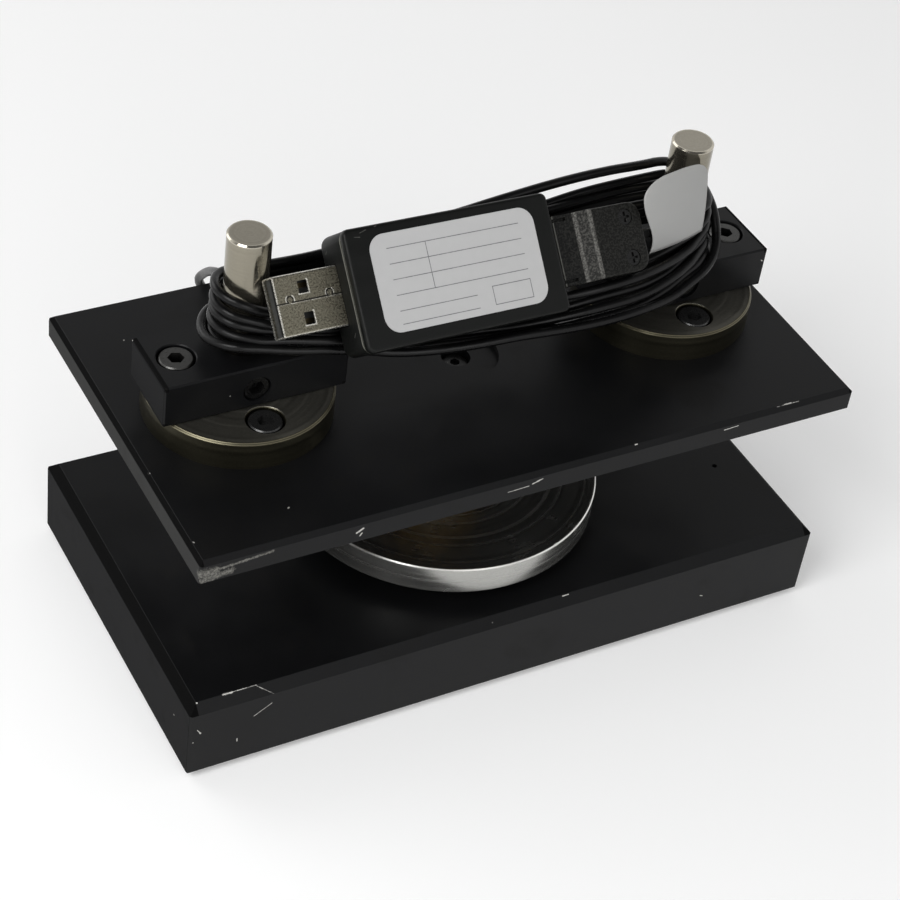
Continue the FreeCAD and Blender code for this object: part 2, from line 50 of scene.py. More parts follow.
CAMERA_PLACE = Vector((-218.04, -333.76, 376.28)) * MM
CAMERA_TURN = Matrix(((0.87937, -0.46204, 0.11498), (0.22809, 0.62076, 0.75009),
                      (-0.41794, -0.63338, 0.65127))).transposed()
LAMPS_AIM = Vector((0, 0, 0.06))
SKY_AS_LAMP, SKY_OVERHEAD = 0.42, 0.08
FLOOR_GREY, FLOOR_GLOW = 0.80, 0.22
FLOOR_HALF = 4


def place_object(name, data):
    """An object in the scene, with its camera, lamp, mesh or curve."""
    made = bpy.data.objects.new(name, data)
    scene.collection.objects.link(made)
    return made


camera = place_object("camera", bpy.data.cameras.new("camera"))
camera.data.lens = 95.603
camera.data.sensor_width = 36.0
camera.data.clip_start = 0.05
camera.matrix_world = Matrix.Translation(CAMERA_PLACE) @ CAMERA_TURN.to_4x4()
scene.camera = camera


def soft_box(name, place, size, power):
    """A square lamp turned towards the fixture."""
    light = bpy.data.lights.new(name, "AREA")
    light.shape = "SQUARE"
    light.size = size
    light.energy = power
    lamp = place_object(name, light)
    lamp.location = place
    lamp.rotation_euler = (Vector(place) - LAMPS_AIM).to_track_quat("Z", "Y").to_euler()


soft_box("key", (-0.60, -0.25, 0.65), 0.45, 4.6)
soft_box("fill", (-0.05, -0.95, 0.45), 0.70, 2.6)
soft_box("rim", (-0.50, 0.75, 0.50), 0.60, 2.0)


def link(value, socket):
    """Join an output to an input, or set the input to a plain value."""
    if isinstance(value, bpy.types.NodeSocket):
        socket.id_data.links.new(value, socket)
    else:
        socket.default_value = (*value, 1.0) if socket.type == "RGBA" else value


def add(kind, inputs, output=0, tree=None, **settings):
    """A shader node with its settings and inputs; what comes back is one of its outputs. It goes
    into the tree that its inputs come from."""
    tree = tree or next(v for v in inputs.values() if isinstance(v, bpy.types.NodeSocket)).id_data
    made = tree.nodes.new("ShaderNode" + kind)
    for name, value in settings.items():
        setattr(made, name, value)
    for name, value in inputs.items():
        link(value, made.inputs[name])
    return made.outputs[output]


def calc(operation, *values, clamp=False):
    """Arithmetic on numbers."""
    return add("Math", dict(enumerate(values)), operation=operation, use_clamp=clamp)


def times(*values):
    """The product of several numbers."""
    return reduce(lambda first, second: calc("MULTIPLY", first, second), values)


def most(*values):
    """The largest of several numbers."""
    return reduce(lambda first, second: calc("MAXIMUM", first, second), values)


def fade(value, start, end, low=0.0, high=1.0):
    """Low at the start value and high at the end value, smooth between and level beyond them."""
    limits = {"Value": value, "From Min": start, "From Max": end, "To Min": low, "To Max": high}
    return add("MapRange", limits, interpolation_type="SMOOTHSTEP")


def seen_directly(tree):
    """1 where a surface is looked at, or is seen in gloss or through glass; 0 where it only
    lights."""
    rays = ("Is Camera Ray", "Is Glossy Ray", "Is Transmission Ray")
    return most(*(add("LightPath", {}, output=ray, tree=tree) for ray in rays))


# The sky is white at the horizon and greyer overhead where it is mirrored, and dimmer as a lamp.
world = bpy.data.worlds.new("studio")
scene.world = world
world.use_nodes = True
sky = world.node_tree
height = add("SeparateXYZ", {0: add("TexCoord", {}, output="Generated", tree=sky)}, output="Z")
mirrored = fade(height, 0.50, 0.74, 1.0, SKY_OVERHEAD)
lamp_share = add("Mix", {0: seen_directly(sky), 2: SKY_AS_LAMP, 3: mirrored}, data_type="FLOAT")
link((1.0, 1.0, 1.0), sky.nodes["Background"].inputs["Color"])
link(lamp_share, sky.nodes["Background"].inputs["Strength"])
scene.view_settings.view_transform = "Standard"

floor_mesh = bpy.data.meshes.new("floor")
floor_corners = [(x * FLOOR_HALF, y * FLOOR_HALF, 0)
                 for x, y in ((-1, -1), (1, -1), (1, 1), (-1, 1))]
floor_mesh.from_pydata(floor_corners, [], [(0, 1, 2, 3)])
floor = place_object("floor", floor_mesh)
floor_paint = bpy.data.materials.new("floor_paint")
floor_paint.use_nodes = True
paint_tree = floor_paint.node_tree
paint = paint_tree.nodes["Principled BSDF"].inputs
link((FLOOR_GREY,) * 3, paint["Base Color"])
link(0.9, paint["Roughness"])
link((1.0, 1.0, 1.0), paint["Emission Color"])
link(times(seen_directly(paint_tree), FLOOR_GLOW), paint["Emission Strength"])
floor_mesh.materials.append(floor_paint)


# ---- base plate ----
# A thick plate of black anodised aluminium with broad chamfers, the foot of the fixture. It is
# milled, etched matt and dyed, and its handling shows as rubbed edges, scratches and specks.

PLATE_HALF = (76.2, 40.3)
BASE_TOP = 20.6


def calc_vector(operation, *values):
    """Arithmetic on vectors; a length, a distance or a product comes out as a number."""
    output = 1 if operation in ("LENGTH", "DISTANCE", "DOT_PRODUCT") else 0
    return add("VectorMath", dict(enumerate(values)), output=output, operation=operation)


def parts_of(vector):
    """The three numbers of a vector."""
    apart = vector.id_data.nodes.new("ShaderNodeSeparateXYZ")
    link(vector, apart.inputs["Vector"])
    return apart.outputs


def noise(vector, scale, detail=2.0, roughness=0.5):
    """A smooth random number round a half, with `scale` features to the millimetre."""
    return add("TexNoise", {"Vector": vector, "Scale": scale, "Detail": detail,
                            "Roughness": roughness})


def away(value, middle):
    """How far a number is from another, either way."""
    return calc("ABSOLUTE", calc("SUBTRACT", value, middle))


def blend(share, first, second):
    """A colour between two colours."""
    return add("Mix", {0: share, 6: first, 7: second}, output=2, data_type="RGBA")


def lay_over(colour, *layers):
    """Colours laid over a colour one after another, each with its share."""
    for share, layer in layers:
        colour = blend(share, colour, layer)
    return colour


def both(first, first_share, second, second_share):
    """A share of each of two numbers, added up and kept between 0 and 1."""
    return calc("MULTIPLY_ADD", first, first_share, times(second, second_share), clamp=True)


def start_group(name, places, numbers, results):
    """An empty node group that takes places and then numbers and gives numbers, all named. Its
    tree, its inputs in that order and its outputs come back."""
    tree = bpy.data.node_groups.new(name, "ShaderNodeTree")
    for labels, way, kind in ((places, "INPUT", "Vector"), (numbers, "INPUT", "Float"),
                              (results, "OUTPUT", "Float")):
        for label in labels.split():
            tree.interface.new_socket(label, in_out=way, socket_type="NodeSocket" + kind)
    given = list(tree.nodes.new("NodeGroupInput").outputs)[:-1]
    return tree, given, tree.nodes.new("NodeGroupOutput").inputs


def place_group(group, place, *values):
    """A node group put where a place comes from, with its other values in order; its outputs come
    back by name."""
    made = place.id_data.nodes.new("ShaderNodeGroup")
    made.node_tree = group
    for value, socket in zip((place, *values), made.inputs):
        link(value, socket)
    return made.outputs


def etched_group():
    """Matt etched metal: fine grain, broad clouds of tone, and sparse darker finger smudges."""
    tree, (place, grain), out = start_group("etched", "Place", "Grain", "Grain Cloud Smudge")
    link(noise(place, grain, 3.0, 0.6), out["Grain"])
    link(noise(place, 0.045, 3.0, 0.55), out["Cloud"])
    patch = add("TexNoise", {"Vector": place, "Scale": 0.09, "Detail": 4.0, "Distortion": 0.8})
    link(fade(patch, 0.56, 0.72), out["Smudge"])
    return tree


def box_wear_group():
    """How near a point on a box is to an edge: the middle one of the three distances that its
    coordinates fall short of the faces, less a random amount, turned into a rubbed line."""
    tree, (place, middle, half, width, gaps), out = start_group(
        "box_wear", "Place Middle Half", "Width Gaps", "Wear")
    offset = calc_vector("ABSOLUTE", calc_vector("SUBTRACT", place, middle))
    a, b, c = parts_of(calc_vector("SUBTRACT", offset, half))
    middle_one = most(calc("MINIMUM", a, b), calc("MINIMUM", most(a, b), c))
    broken = times(noise(place, 0.35, 4.0, 0.7), gaps, width)
    distance = calc("ADD", calc("ABSOLUTE", middle_one), broken)
    link(fade(calc("DIVIDE", distance, width), 1.0, 0.35), out["Wear"])
    return tree


def mark_group():
    """A scratch from one point to another, or a chip where both are one: the distance to the line,
    roughened, turned into a mark and laid over the marks before it."""
    tree, (place, start, end, width, before), out = start_group(
        "mark", "Place From To", "Width Before", "Mark")
    along = calc_vector("SUBTRACT", end, start)
    reach = calc_vector("SUBTRACT", place, start)
    share = calc("DIVIDE", calc_vector("DOT_PRODUCT", reach, along),
                 calc("ADD", calc_vector("DOT_PRODUCT", along, along), 0.0001), clamp=True)
    nearest = add("VectorMath", {0: along, "Scale": share}, operation="SCALE")
    distance = calc_vector("DISTANCE", reach, nearest)
    rough = calc("MULTIPLY_ADD", noise(place, 1.4, 3.0, 0.7), width, distance)
    link(most(fade(calc("DIVIDE", rough, width), 1.1, 0.7), before), out["Mark"])
    return tree


def speck_group():
    """Sparse specks of dust and lint: the middles of the cells of a random pattern, in a few of
    its cells."""
    tree, (place, spacing, size, share), out = start_group(
        "specks", "Place", "Spacing Size Share", "Speck")
    scale = calc("DIVIDE", 1.0, spacing)
    cells = tree.nodes.new("ShaderNodeTexVoronoi")
    link(place, cells.inputs["Vector"])
    link(scale, cells.inputs["Scale"])
    near = fade(calc("DIVIDE", cells.outputs["Distance"], times(size, scale)), 1.0, 0.6)
    chosen = calc("LESS_THAN", parts_of(cells.outputs["Color"])[0], share)
    link(times(near, chosen), out["Speck"])
    return tree


etched, box_wear, mark, specks = etched_group(), box_wear_group(), mark_group(), speck_group()


def start_finish(name, place_on, even):
    """A material named after its finish, where its points lie, and its sockets. The sockets named
    here are the same all over it."""
    material = bpy.data.materials.new(name)
    material.use_nodes = True
    shader = material.node_tree.nodes["Principled BSDF"].inputs
    for socket, value in even.items():
        link(value, shader[socket])
    return material, place_on(material.node_tree), shader


def on_object(tree):
    """Where a point lies on the fixture, in millimetres."""
    return calc_vector("MULTIPLY", add("TexCoord", {}, output="Object", tree=tree), (1 / MM,) * 3)


def settle(shader, colour, roughness, raised, depth):
    """Give a finish its colour and roughness, and raise its surface by a number from 0 to 1,
    `depth` millimetres at most."""
    link(colour, shader["Base Color"])
    link(roughness, shader["Roughness"])
    link(add("Bump", {"Height": raised, "Distance": depth * MM}), shader["Normal"])


def marks(place, lines):
    """Scratches and chips, each given as two points and a width in millimetres."""
    found = 0.0
    for start, end, width in lines:
        found = place_group(mark, place, start, end, width, found)["Mark"]
    return found


def black_anodised(name, middle, half_size, lines, tone=1.0, scuffs=(), bevel_width=1.0,
                   end_painted_light=0.0):
    """Black anodised plate or block. Bare metal shows in its marks and, faintly, along its edges.
    Scuffs are broad marks that are only partly rubbed through."""
    material, place, shader = start_finish(name, on_object, {"Specular IOR Level": 0.14})
    skin = place_group(etched, place, 2.6)
    worn = place_group(box_wear, place, middle, half_size, 0.34, 0.9)["Wear"]
    dust = place_group(specks, place, 7.0, 0.22, 0.10)["Speck"]
    bare = marks(place, lines)
    patchy = fade(noise(place, 2.4, 3.0, 0.7), 0.34, 0.66, 0.25, 0.9)
    rubbed = times(marks(place, scuffs), patchy)
    # The sawn ends took the etch more deeply than the milled faces, so they are duller. Their
    # colour is also painted lighter, a painted light, and the bevels above them are painted nearly
    # black, a painted shade.
    along, _, above = (away(part, centre) for part, centre in zip(parts_of(place), middle))
    end = fade(along, half_size[0] - 0.12, half_size[0] - 0.04)
    past_face = half_size[0] - bevel_width
    over_side = half_size[2] - bevel_width
    bevel = times(fade(along, past_face, past_face + 0.1), fade(above, over_side, over_side + 0.1))
    bevel_painted_shade = calc("SUBTRACT", bevel, end, clamp=True)

    dark = (0.0022 * tone, 0.0022 * tone, 0.0024 * tone)
    light = (0.0068 * tone, 0.0070 * tone, 0.0076 * tone)
    mottle = both(skin["Grain"], 0.5, skin["Cloud"], 0.6)
    colour = lay_over(
        blend(mottle, dark, light),
        (times(skin["Smudge"], 0.35), (0.005, 0.0045, 0.004)),
        (times(worn, 0.24), (0.16, 0.16, 0.165)),
        (times(dust, 0.5), (0.30, 0.30, 0.29)),
        (rubbed, (0.21, 0.205, 0.185)),
        (bare, (0.55, 0.54, 0.51)),
        (times(bevel_painted_shade, 0.95), (0.0003, 0.0003, 0.0003)),
        (times(end, end_painted_light), (0.060, 0.060, 0.058)))
    link(times(bare, 0.6), shader["Metallic"])
    satin = fade(skin["Cloud"], 0.35, 0.65, 0.30, 0.40)
    dull = most(satin, bevel, times(end, 0.85))
    settle(shader, colour, calc("MULTIPLY_ADD", skin["Smudge"], 0.08, dull),
           calc("SUBTRACT", skin["Grain"], times(bare, 2.0)), 0.012)
    return material


def dress(material, *names):
    """Give CAD nodes their finish."""
    for name in names:
        nodes[name].data.materials.clear()
        nodes[name].data.materials.append(material)


BASE_MARKS = [
    ((-68.3, -38.4, 20.6), (-66.4, -38.4, 20.6), 0.50),
    ((-66.4, -38.4, 20.6), (-61.0, -38.4, 20.6), 0.22),
    ((-61.0, -38.5, 20.5), (-57.8, -40.3, 18.7), 0.18),
    ((-58.0, -40.3, 16.0), (-61.9, -40.3, 13.6), 0.16),
    ((-74.2, -38.5, 20.5), (-74.0, -38.5, 20.5), 0.34),
    ((-76.2, -32.7, 12.0), (-76.2, -32.6, 12.0), 0.34),
    ((-73.8, -40.3, 13.4), (-73.7, -40.3, 13.2), 0.40),
    ((-74.4, -40.3, 14.4), (-73.8, -40.3, 13.4), 0.18),
    ((-75.2, -40.3, 11.0), (-75.2, -40.3, 11.0), 0.26),
    ((-65.3, -40.3, 7.4), (-65.3, -40.3, 8.2), 0.26),
    ((11.2, -38.6, 20.4), (12.6, -38.6, 20.4), 0.30),
    ((48.0, -40.3, 9.0), (48.6, -40.3, 8.7), 0.24),
]
base_black = black_anodised("black_anodised_base", (0.0, 0.0, BASE_TOP / 2),
                            (*PLATE_HALF, BASE_TOP / 2), BASE_MARKS, bevel_width=2.0)
dress(base_black, "base_plate")


# ---- base spacer ----
# A round distance piece of black anodised aluminium between the base and the platen. It is turned,
# and drilled for the four screws that come up from under the base.

ORIGIN = (0.0, 0.0, 0.0)
LEVEL = (1.0, 1.0, 0.0)   # times this, a place is brought down to height 0


def turned_group():
    """Lathe marks: a random number that depends only on the distance from an upright axis and on
    the height, so that it runs round in fine rings."""
    tree, (place, axis, scale), out = start_group("turned", "Place Axis", "Scale", "Rings")
    offset = calc_vector("SUBTRACT", place, axis)
    flat = calc_vector("LENGTH", calc_vector("MULTIPLY", offset, LEVEL))
    outward = calc("MULTIPLY_ADD", parts_of(offset)[2], 0.73, flat)
    link(add("TexNoise", {"W": outward, "Scale": scale, "Detail": 1.0}, noise_dimensions="1D"),
         out["Rings"])
    return tree


def rim_wear_group():
    """How near a point is to a round rim, given by its axis, radius and height, less a random
    amount, turned into a rubbed line."""
    tree, (place, axis, radius, height, width, gaps), out = start_group(
        "rim_wear", "Place Axis", "Radius Height Width Gaps", "Wear")
    offset = calc_vector("SUBTRACT", place, axis)
    sideways = away(calc_vector("LENGTH", calc_vector("MULTIPLY", offset, LEVEL)), radius)
    upwards = away(parts_of(offset)[2], height)
    distance = calc("DIVIDE", most(sideways, upwards), width)
    broken = calc("MULTIPLY_ADD", noise(place, 0.5, 3.0, 0.7), gaps, distance)
    link(fade(broken, 1.0, 0.45), out["Wear"])
    return tree


turned, rim_wear = turned_group(), rim_wear_group()


def turned_metal(name, axis, colours, rims, roughness, metallic, rings=3.0, relief_depth=0.01,
                 top=None, rim_width=0.42, painted_shade_below=None):
    """Turned metal round an upright axis. Colours are its dark, its light and its rubbed rims; each
    rim is a radius and a height. A top is a height and the dark and light above it, and a painted
    shade below is the height where that darkening starts and the lower one where it is full."""
    material, place, shader = start_finish(name, on_object, {"Specular IOR Level": 0.4})
    height = parts_of(place)[2]
    cut = place_group(turned, place, axis, rings)
    skin = place_group(etched, place, 2.2)
    dark, light, rubbed = colours
    tone = both(cut["Rings"], 0.5, skin["Cloud"], 0.5)
    grain = calc("SUBTRACT", skin["Grain"], 0.5)
    tone = calc("MULTIPLY_ADD", grain, 0.5, tone, clamp=True)
    colour = blend(tone, dark, light)
    if top:
        top_height, top_dark, top_light = top
        on_top = fade(height, top_height - 0.08, top_height - 0.02)
        colour = blend(on_top, colour, blend(tone, top_dark, top_light))
    # Below the given height the colour is painted darker, a painted shade.
    if painted_shade_below:
        colour = blend(fade(height, *painted_shade_below), colour, (0.022, 0.020, 0.016))
    worn = 0.0
    for radius, rim_height in rims:
        line = place_group(rim_wear, place, axis, radius, rim_height, rim_width, 0.35)["Wear"]
        worn = most(line, worn)
    # A dyed piece is metal only where its rims are rubbed bare.
    link(metallic or times(worn, 0.8), shader["Metallic"])
    dull = calc("ADD", cut["Rings"], times(skin["Smudge"], 0.4))
    settle(shader, blend(worn, colour, rubbed), fade(dull, 0.3, 0.9, *roughness),
           calc("MULTIPLY_ADD", skin["Grain"], 0.4, cut["Rings"]), relief_depth)
    return material


SPACER_RADIUS = 25.0
SPACER_TOP = 24.4
BLACKS = ((0.0030, 0.0030, 0.0032), (0.0080, 0.0080, 0.0086), (0.10, 0.10, 0.10))
dress(turned_metal("black_anodised_spacer", ORIGIN, BLACKS, [(SPACER_RADIUS, SPACER_TOP)],
                   (0.38, 0.55), 0.0), "base_spacer")


# ---- lower platen ----
# A thick disc of clear anodised aluminium that the load cell stands on, blasted on top and turned
# bright round its rim. Four black screws from below hold it to the base.

PLATEN_RADIUS = 34.8
PLATEN_TOP = 30.7
dress(turned_metal("clear_anodised_platen", ORIGIN,
                   ((0.34, 0.34, 0.32), (0.62, 0.615, 0.59), (0.80, 0.79, 0.76)),
                   [(PLATEN_RADIUS, PLATEN_TOP), (PLATEN_RADIUS - 0.25, PLATEN_TOP)], (0.20, 0.34),
                   0.95, rings=0.9, relief_depth=0.002,
                   top=(PLATEN_TOP, (0.12, 0.12, 0.11), (0.34, 0.338, 0.32))), "lower_platen")


def screw_black(name, tone):
    """Black oxide on steel screws: a thin dark skin with oily patches and bright rubbed spots."""
    material, place, shader = start_finish(name, on_object,
                                           {"Specular IOR Level": 0.5, "Metallic": 0.85})
    skin = place_group(etched, place, 4.5)
    rubbed = fade(noise(place, 0.9, 4.0, 0.7), 0.60, 0.74)
    colour = blend(skin["Grain"], (0.018 * tone,) * 3, (0.045 * tone,) * 3)
    settle(shader, blend(times(rubbed, 0.5), colour, (0.22, 0.21, 0.20)),
           fade(skin["Grain"], 0.3, 0.7, 0.24, 0.40), skin["Grain"], 0.01)
    return material


dress(screw_black("black_oxide_screws", 1.0), "platen_screws", "cell_screw_lower",
      "cell_screw_upper")


# ---- load cell ----
# The S-beam: a small block of gold anodised aluminium, sawn in from both sides so that load bends
# the beam between the cuts. Its gauges sit in a double bore under potting. The bosses above and
# below are turned from steel, and so is the gland at the back, where the cable comes out.

CELL_MIDDLE = (0.0, 0.0, 42.975)
CELL_HALF = (8.75, 3.3, 9.525)
BOSS_RADIUS = 5.0
TOP_LOW = 55.25


def gold_anodised():
    """Gold dye over fine milling lines that run along the block, paler where it is rubbed."""
    material, place, shader = start_finish("gold_anodised_cell", on_object,
                                           {"Metallic": 0.9, "Specular IOR Level": 0.5})
    cutter = noise(calc_vector("MULTIPLY", place, (0.06, 1.0, 1.0)), 5.0, 3.0, 0.6)
    skin = place_group(etched, place, 3.5)
    worn = place_group(box_wear, place, CELL_MIDDLE, CELL_HALF, 0.3, 0.6)["Wear"]
    tone = both(cutter, 0.6, skin["Cloud"], 0.4)
    colour = blend(tone, (0.46, 0.27, 0.07), (0.70, 0.46, 0.16))
    settle(shader, blend(times(worn, 0.7), colour, (0.85, 0.72, 0.46)),
           fade(cutter, 0.3, 0.7, 0.24, 0.38), cutter, 0.01)
    return material


def potting():
    """Pale potting compound: level where it set, with a few pinholes and a slight skin."""
    material, place, shader = start_finish("potting_compound", on_object, {"Coat Weight": 0.15})
    skin = noise(place, 0.8, 3.0, 0.6)
    pinholes = place_group(specks, place, 0.9, 0.16, 0.3)["Speck"]
    colour = blend(skin, (0.46, 0.46, 0.43), (0.60, 0.60, 0.57))
    settle(shader, blend(pinholes, colour, (0.16, 0.16, 0.15)), 0.34,
           calc("SUBTRACT", skin, pinholes), 0.08)
    return material


dress(gold_anodised(), "load_cell_body")
dress(potting(), "gauge_covers")
BRIGHTS = ((0.42, 0.41, 0.39), (0.66, 0.645, 0.61), (0.85, 0.84, 0.80))
cell_low, cell_high = CELL_MIDDLE[2] - CELL_HALF[2], CELL_MIDDLE[2] + CELL_HALF[2]
boss_rims = [(BOSS_RADIUS, rim) for rim in (PLATEN_TOP, cell_low, cell_high, TOP_LOW)]
dress(turned_metal("turned_steel_bosses", ORIGIN, BRIGHTS, boss_rims, (0.20, 0.34), 1.0,
                   rings=4.0), "cell_boss_lower", "cell_boss_upper")
# The gland at the back is turned from the same steel, round the axis of the cable's way out.
GLAND_X = -6.2
dress(turned_metal("turned_steel_gland", (GLAND_X, 0.0, 0.0), BRIGHTS, [], (0.20, 0.34), 1.0,
                   rings=4.0), "load_cell_gland")


# ---- top plate ----
# The loading plate: black anodised like the base, thinner, with small chamfers and a shallow round
# recess in the middle, at whose bottom one black screw goes down into the load cell.

TOP_HIGH = 61.45
TOP_MARKS = [
    ((-75.6, -12.6, 61.3), (-75.4, -13.2, 61.4), 0.45),
    ((-75.8, -15.0, 61.1), (-75.8, -19.7, 61.1), 0.20),
    ((-75.6, -24.4, 61.3), (-75.5, -25.6, 61.4), 0.32),
    ((-75.7, -29.0, 61.2), (-75.6, -31.4, 61.2), 0.18),
    ((-75.0, -34.1, 61.45), (-74.9, -34.3, 61.45), 0.30),
    ((-54.0, -31.8, 61.45), (-53.8, -31.7, 61.45), 0.34),
    ((-64.5, 27.1, 61.45), (-64.5, 27.1, 61.45), 0.34),
    ((-43.0, -40.3, 58.6), (-41.6, -40.3, 59.4), 0.50),
    ((-42.2, -40.3, 57.6), (-41.8, -40.3, 58.2), 0.34),
    ((-9.0, -40.3, 58.5), (-4.2, -40.3, 58.7), 0.22),
    ((-3.4, -40.3, 59.0), (-1.2, -40.3, 59.7), 0.42),
    ((56.6, -39.5, 61.4), (62.2, -39.5, 61.4), 0.26),
    ((58.6, -39.4, 61.45), (60.2, -39.4, 61.45), 0.34),
    ((21.2, -39.4, 61.4), (21.6, -39.4, 61.4), 0.34),
    ((43.0, -40.3, 59.6), (46.5, -40.3, 59.8), 0.20),
]
TOP_SCUFFS = [
    ((-76.0, -40.3, 58.4), (-73.0, -40.3, 58.6), 2.6),
    ((-75.4, -40.3, 57.0), (-69.6, -40.3, 57.6), 1.7),
    ((-72.0, -40.3, 58.9), (-61.0, -40.3, 59.9), 0.7),
]
# The top plate's two ends get painted light.
top_black = black_anodised("black_anodised_top", (0.0, 0.0, (TOP_LOW + TOP_HIGH) / 2),
                           (*PLATE_HALF, (TOP_HIGH - TOP_LOW) / 2), TOP_MARKS, scuffs=TOP_SCUFFS,
                           end_painted_light=0.40)
dress(top_black, "top_plate")


# ---- flanges ----
# Two turned steel discs under the clamps, each let down onto the plate by two socket head screws in
# counterbores. Their sides are painted darker than their tops, a painted shade, and the thin
# lighter lines at their rims are rubbed wear and a painted highlight on the chamfer.

POST_X = 50.8
FLANGE_RADIUS = 19.7
FLANGE_TOP = 67.95
SIDES = {"left": -POST_X, "right": POST_X}
# The side colours are a painted shade beside the lighter top colours, and the rim lines are partly
# a painted highlight.
for side, x in SIDES.items():
    dress(turned_metal(side + "_flange_steel", (x, 0.0, 0.0),
                       ((0.034, 0.031, 0.021), (0.085, 0.079, 0.054), (0.15, 0.136, 0.092)),
                       [(FLANGE_RADIUS, FLANGE_TOP - 0.42), (FLANGE_RADIUS - 0.42, FLANGE_TOP)],
                       (0.34, 0.48), 0.95, rings=0.9, relief_depth=0.003, rim_width=0.24,
                       top=(FLANGE_TOP, (0.13, 0.124, 0.105), (0.31, 0.30, 0.26))),
          side + "_flange")
dress(screw_black("black_oxide_flange_screws", 2.0), "flange_screws")


# ---- clamp blocks ----
# A black anodised block across each flange grips its post: two socket head screws hold it down, and
# a headless one in its front presses on the post.

CLAMP_HALF = (20.0, 8.5, 4.95)
CLAMP_TOP = 77.85
CLAMP_MARKS = {
    "left": [
        ((-70.7, -8.3, 77.8), (-70.2, -8.4, 77.8), 0.42),
        ((-56.7, -8.5, 72.2), (-56.7, -8.5, 72.2), 0.22),
        ((-70.8, 8.2, 77.6), (-70.8, 8.0, 77.5), 0.30),
        ((-70.8, -8.4, 74.0), (-70.8, -8.4, 71.0), 0.16),
    ],
    "right": [
        ((69.6, -8.5, 75.0), (69.9, -8.5, 74.7), 0.26),
        ((44.6, -8.5, 70.6), (44.7, -8.5, 70.6), 0.34),
    ],
}
for side, x in SIDES.items():
    dress(black_anodised(f"black_anodised_{side}_clamp", (x, 0.0, (FLANGE_TOP + CLAMP_TOP) / 2),
                         CLAMP_HALF, CLAMP_MARKS[side], tone=1.05), side + "_clamp")


KEY_FLOOR, HEAD_TOP = 75.6, 77.4


def screw_grey():
    """Zinc-grey heads, brushed across by the tumbling drum, with painted shade down in their key
    sockets.
    """
    material, place, shader = start_finish("plated_clamp_screws", on_object, {"Metallic": 0.95})
    drum = noise(calc_vector("MULTIPLY", place, (0.35, 1.0, 1.0)), 4.0, 4.0, 0.7)
    skin = place_group(etched, place, 5.0)
    # The heads stand nearly level with the block; down in the key socket the colour is painted
    # darker, a painted shade.
    socket_painted_shade = fade(parts_of(place)[2], KEY_FLOOR, HEAD_TOP)
    colour = blend(drum, (0.035, 0.035, 0.034), (0.11, 0.109, 0.105))
    colour = blend(socket_painted_shade, (0.015, 0.015, 0.015), colour)
    settle(shader, colour, fade(drum, 0.3, 0.7, 0.26, 0.42), calc("ADD", drum, skin["Grain"]),
           0.012)
    return material


dress(screw_grey(), "clamp_screws")
dress(screw_black("black_oxide_set_screws", 0.7), "set_screws")


# ---- posts ----
# Two ground steel rods that the loading fixtures slip over. Polishing lines run round them, and
# their tops are faced and left bare.

POST_RADIUS = 4.5
POST_TOP = 104.7
# Below the cable winding the posts are painted darker, a painted shade.
for side, x in SIDES.items():
    dress(turned_metal(side + "_post_steel", (x, 0.0, 0.0),
                       ((0.22, 0.202, 0.160), (0.32, 0.298, 0.24), (0.46, 0.43, 0.36)),
                       [(POST_RADIUS, POST_TOP - 0.3), (POST_RADIUS - 0.3, POST_TOP)],
                       (0.12, 0.22), 0.93, rings=2.0, relief_depth=0.0015,
                       top=(POST_TOP, (0.22, 0.20, 0.16), (0.34, 0.32, 0.27)), painted_shade_below=(90.0, 82.0)),
          side + "_post")


# ---- readout module ----
# A slim moulded housing that turns the cell's signal into USB. A tub and a lid of black plastic
# meet in a groove round the side; the circuit board and the connector's socket are held between.

MODULE_MOUTH = (-49.7, -12.3, 94.9)
MODULE_TURN = tuple(math.radians(a) for a in (46.8, 3.0, 1.9))
MODULE_MIDDLE = (37.3, 0.0)
MODULE_HALF = (23.3, 12.2)
TUB_CORNER, LID_CORNER = 2.2, 1.4
TUB_BACK, LID_FACE = -5.95, 6.05
GROOVE_LOW, GROOVE_HIGH, GROOVE_DEPTH = 3.96, 4.30, 0.55
TUB_ROUND, LID_ROUND = 2.0, 0.7
NEAR_END = MODULE_MIDDLE[0] - MODULE_HALF[0]
LIP = [(0.0, 0.14), (0.04, 0.05), (0.14, 0.0)]   # insets and heights of a groove lip's small round
PLUG_UP, PLUG_OUT = 0.3, -2.25
PLUG_HALF_WIDTH, PLUG_HALF_HEIGHT = 6.0, 2.25
lean = np.array(Euler(MODULE_TURN, "XYZ").to_matrix())


def on_module(tree):
    """Where a point lies on the module, in millimetres: along it from the plug's mouth, up its
    face, and out of its face."""
    mouth = tuple(a * MM for a in MODULE_MOUTH)
    spot = add("TexCoord", {}, output="Object", tree=tree)
    turned_back = add("Mapping", {"Vector": spot, "Location": mouth, "Rotation": MODULE_TURN},
                      vector_type="TEXTURE")
    return calc_vector("MULTIPLY", turned_back, (1 / MM,) * 3)


def grid_piece(name, points, faces, material, crease=35.0):
    """A new piece from an array of points in millimetres. Edges sharper than the crease stay
    sharp."""
    mesh = bpy.data.meshes.new(name)
    mesh.from_pydata(np.asarray(points) * MM, [], faces)
    mesh.polygons.foreach_set("use_smooth", np.ones(len(mesh.polygons), dtype=bool))
    mesh.set_sharp_from_angle(angle=math.radians(crease))
    mesh.materials.append(material)
    return place_object(name, mesh)


def ring_faces(rings, around):
    """Quads between rings of points, and a flat cap on the first ring and on the last."""
    j, i = np.meshgrid(np.arange(rings - 1), np.arange(around), indexing="ij")
    here, beside = j * around + i, j * around + (i + 1) % around
    quads = np.stack([here, beside, beside + around, here + around], axis=-1)
    caps = [list(range(around))[::-1], list(range((rings - 1) * around, rings * around))]
    return quads.reshape(-1, 4).tolist() + caps


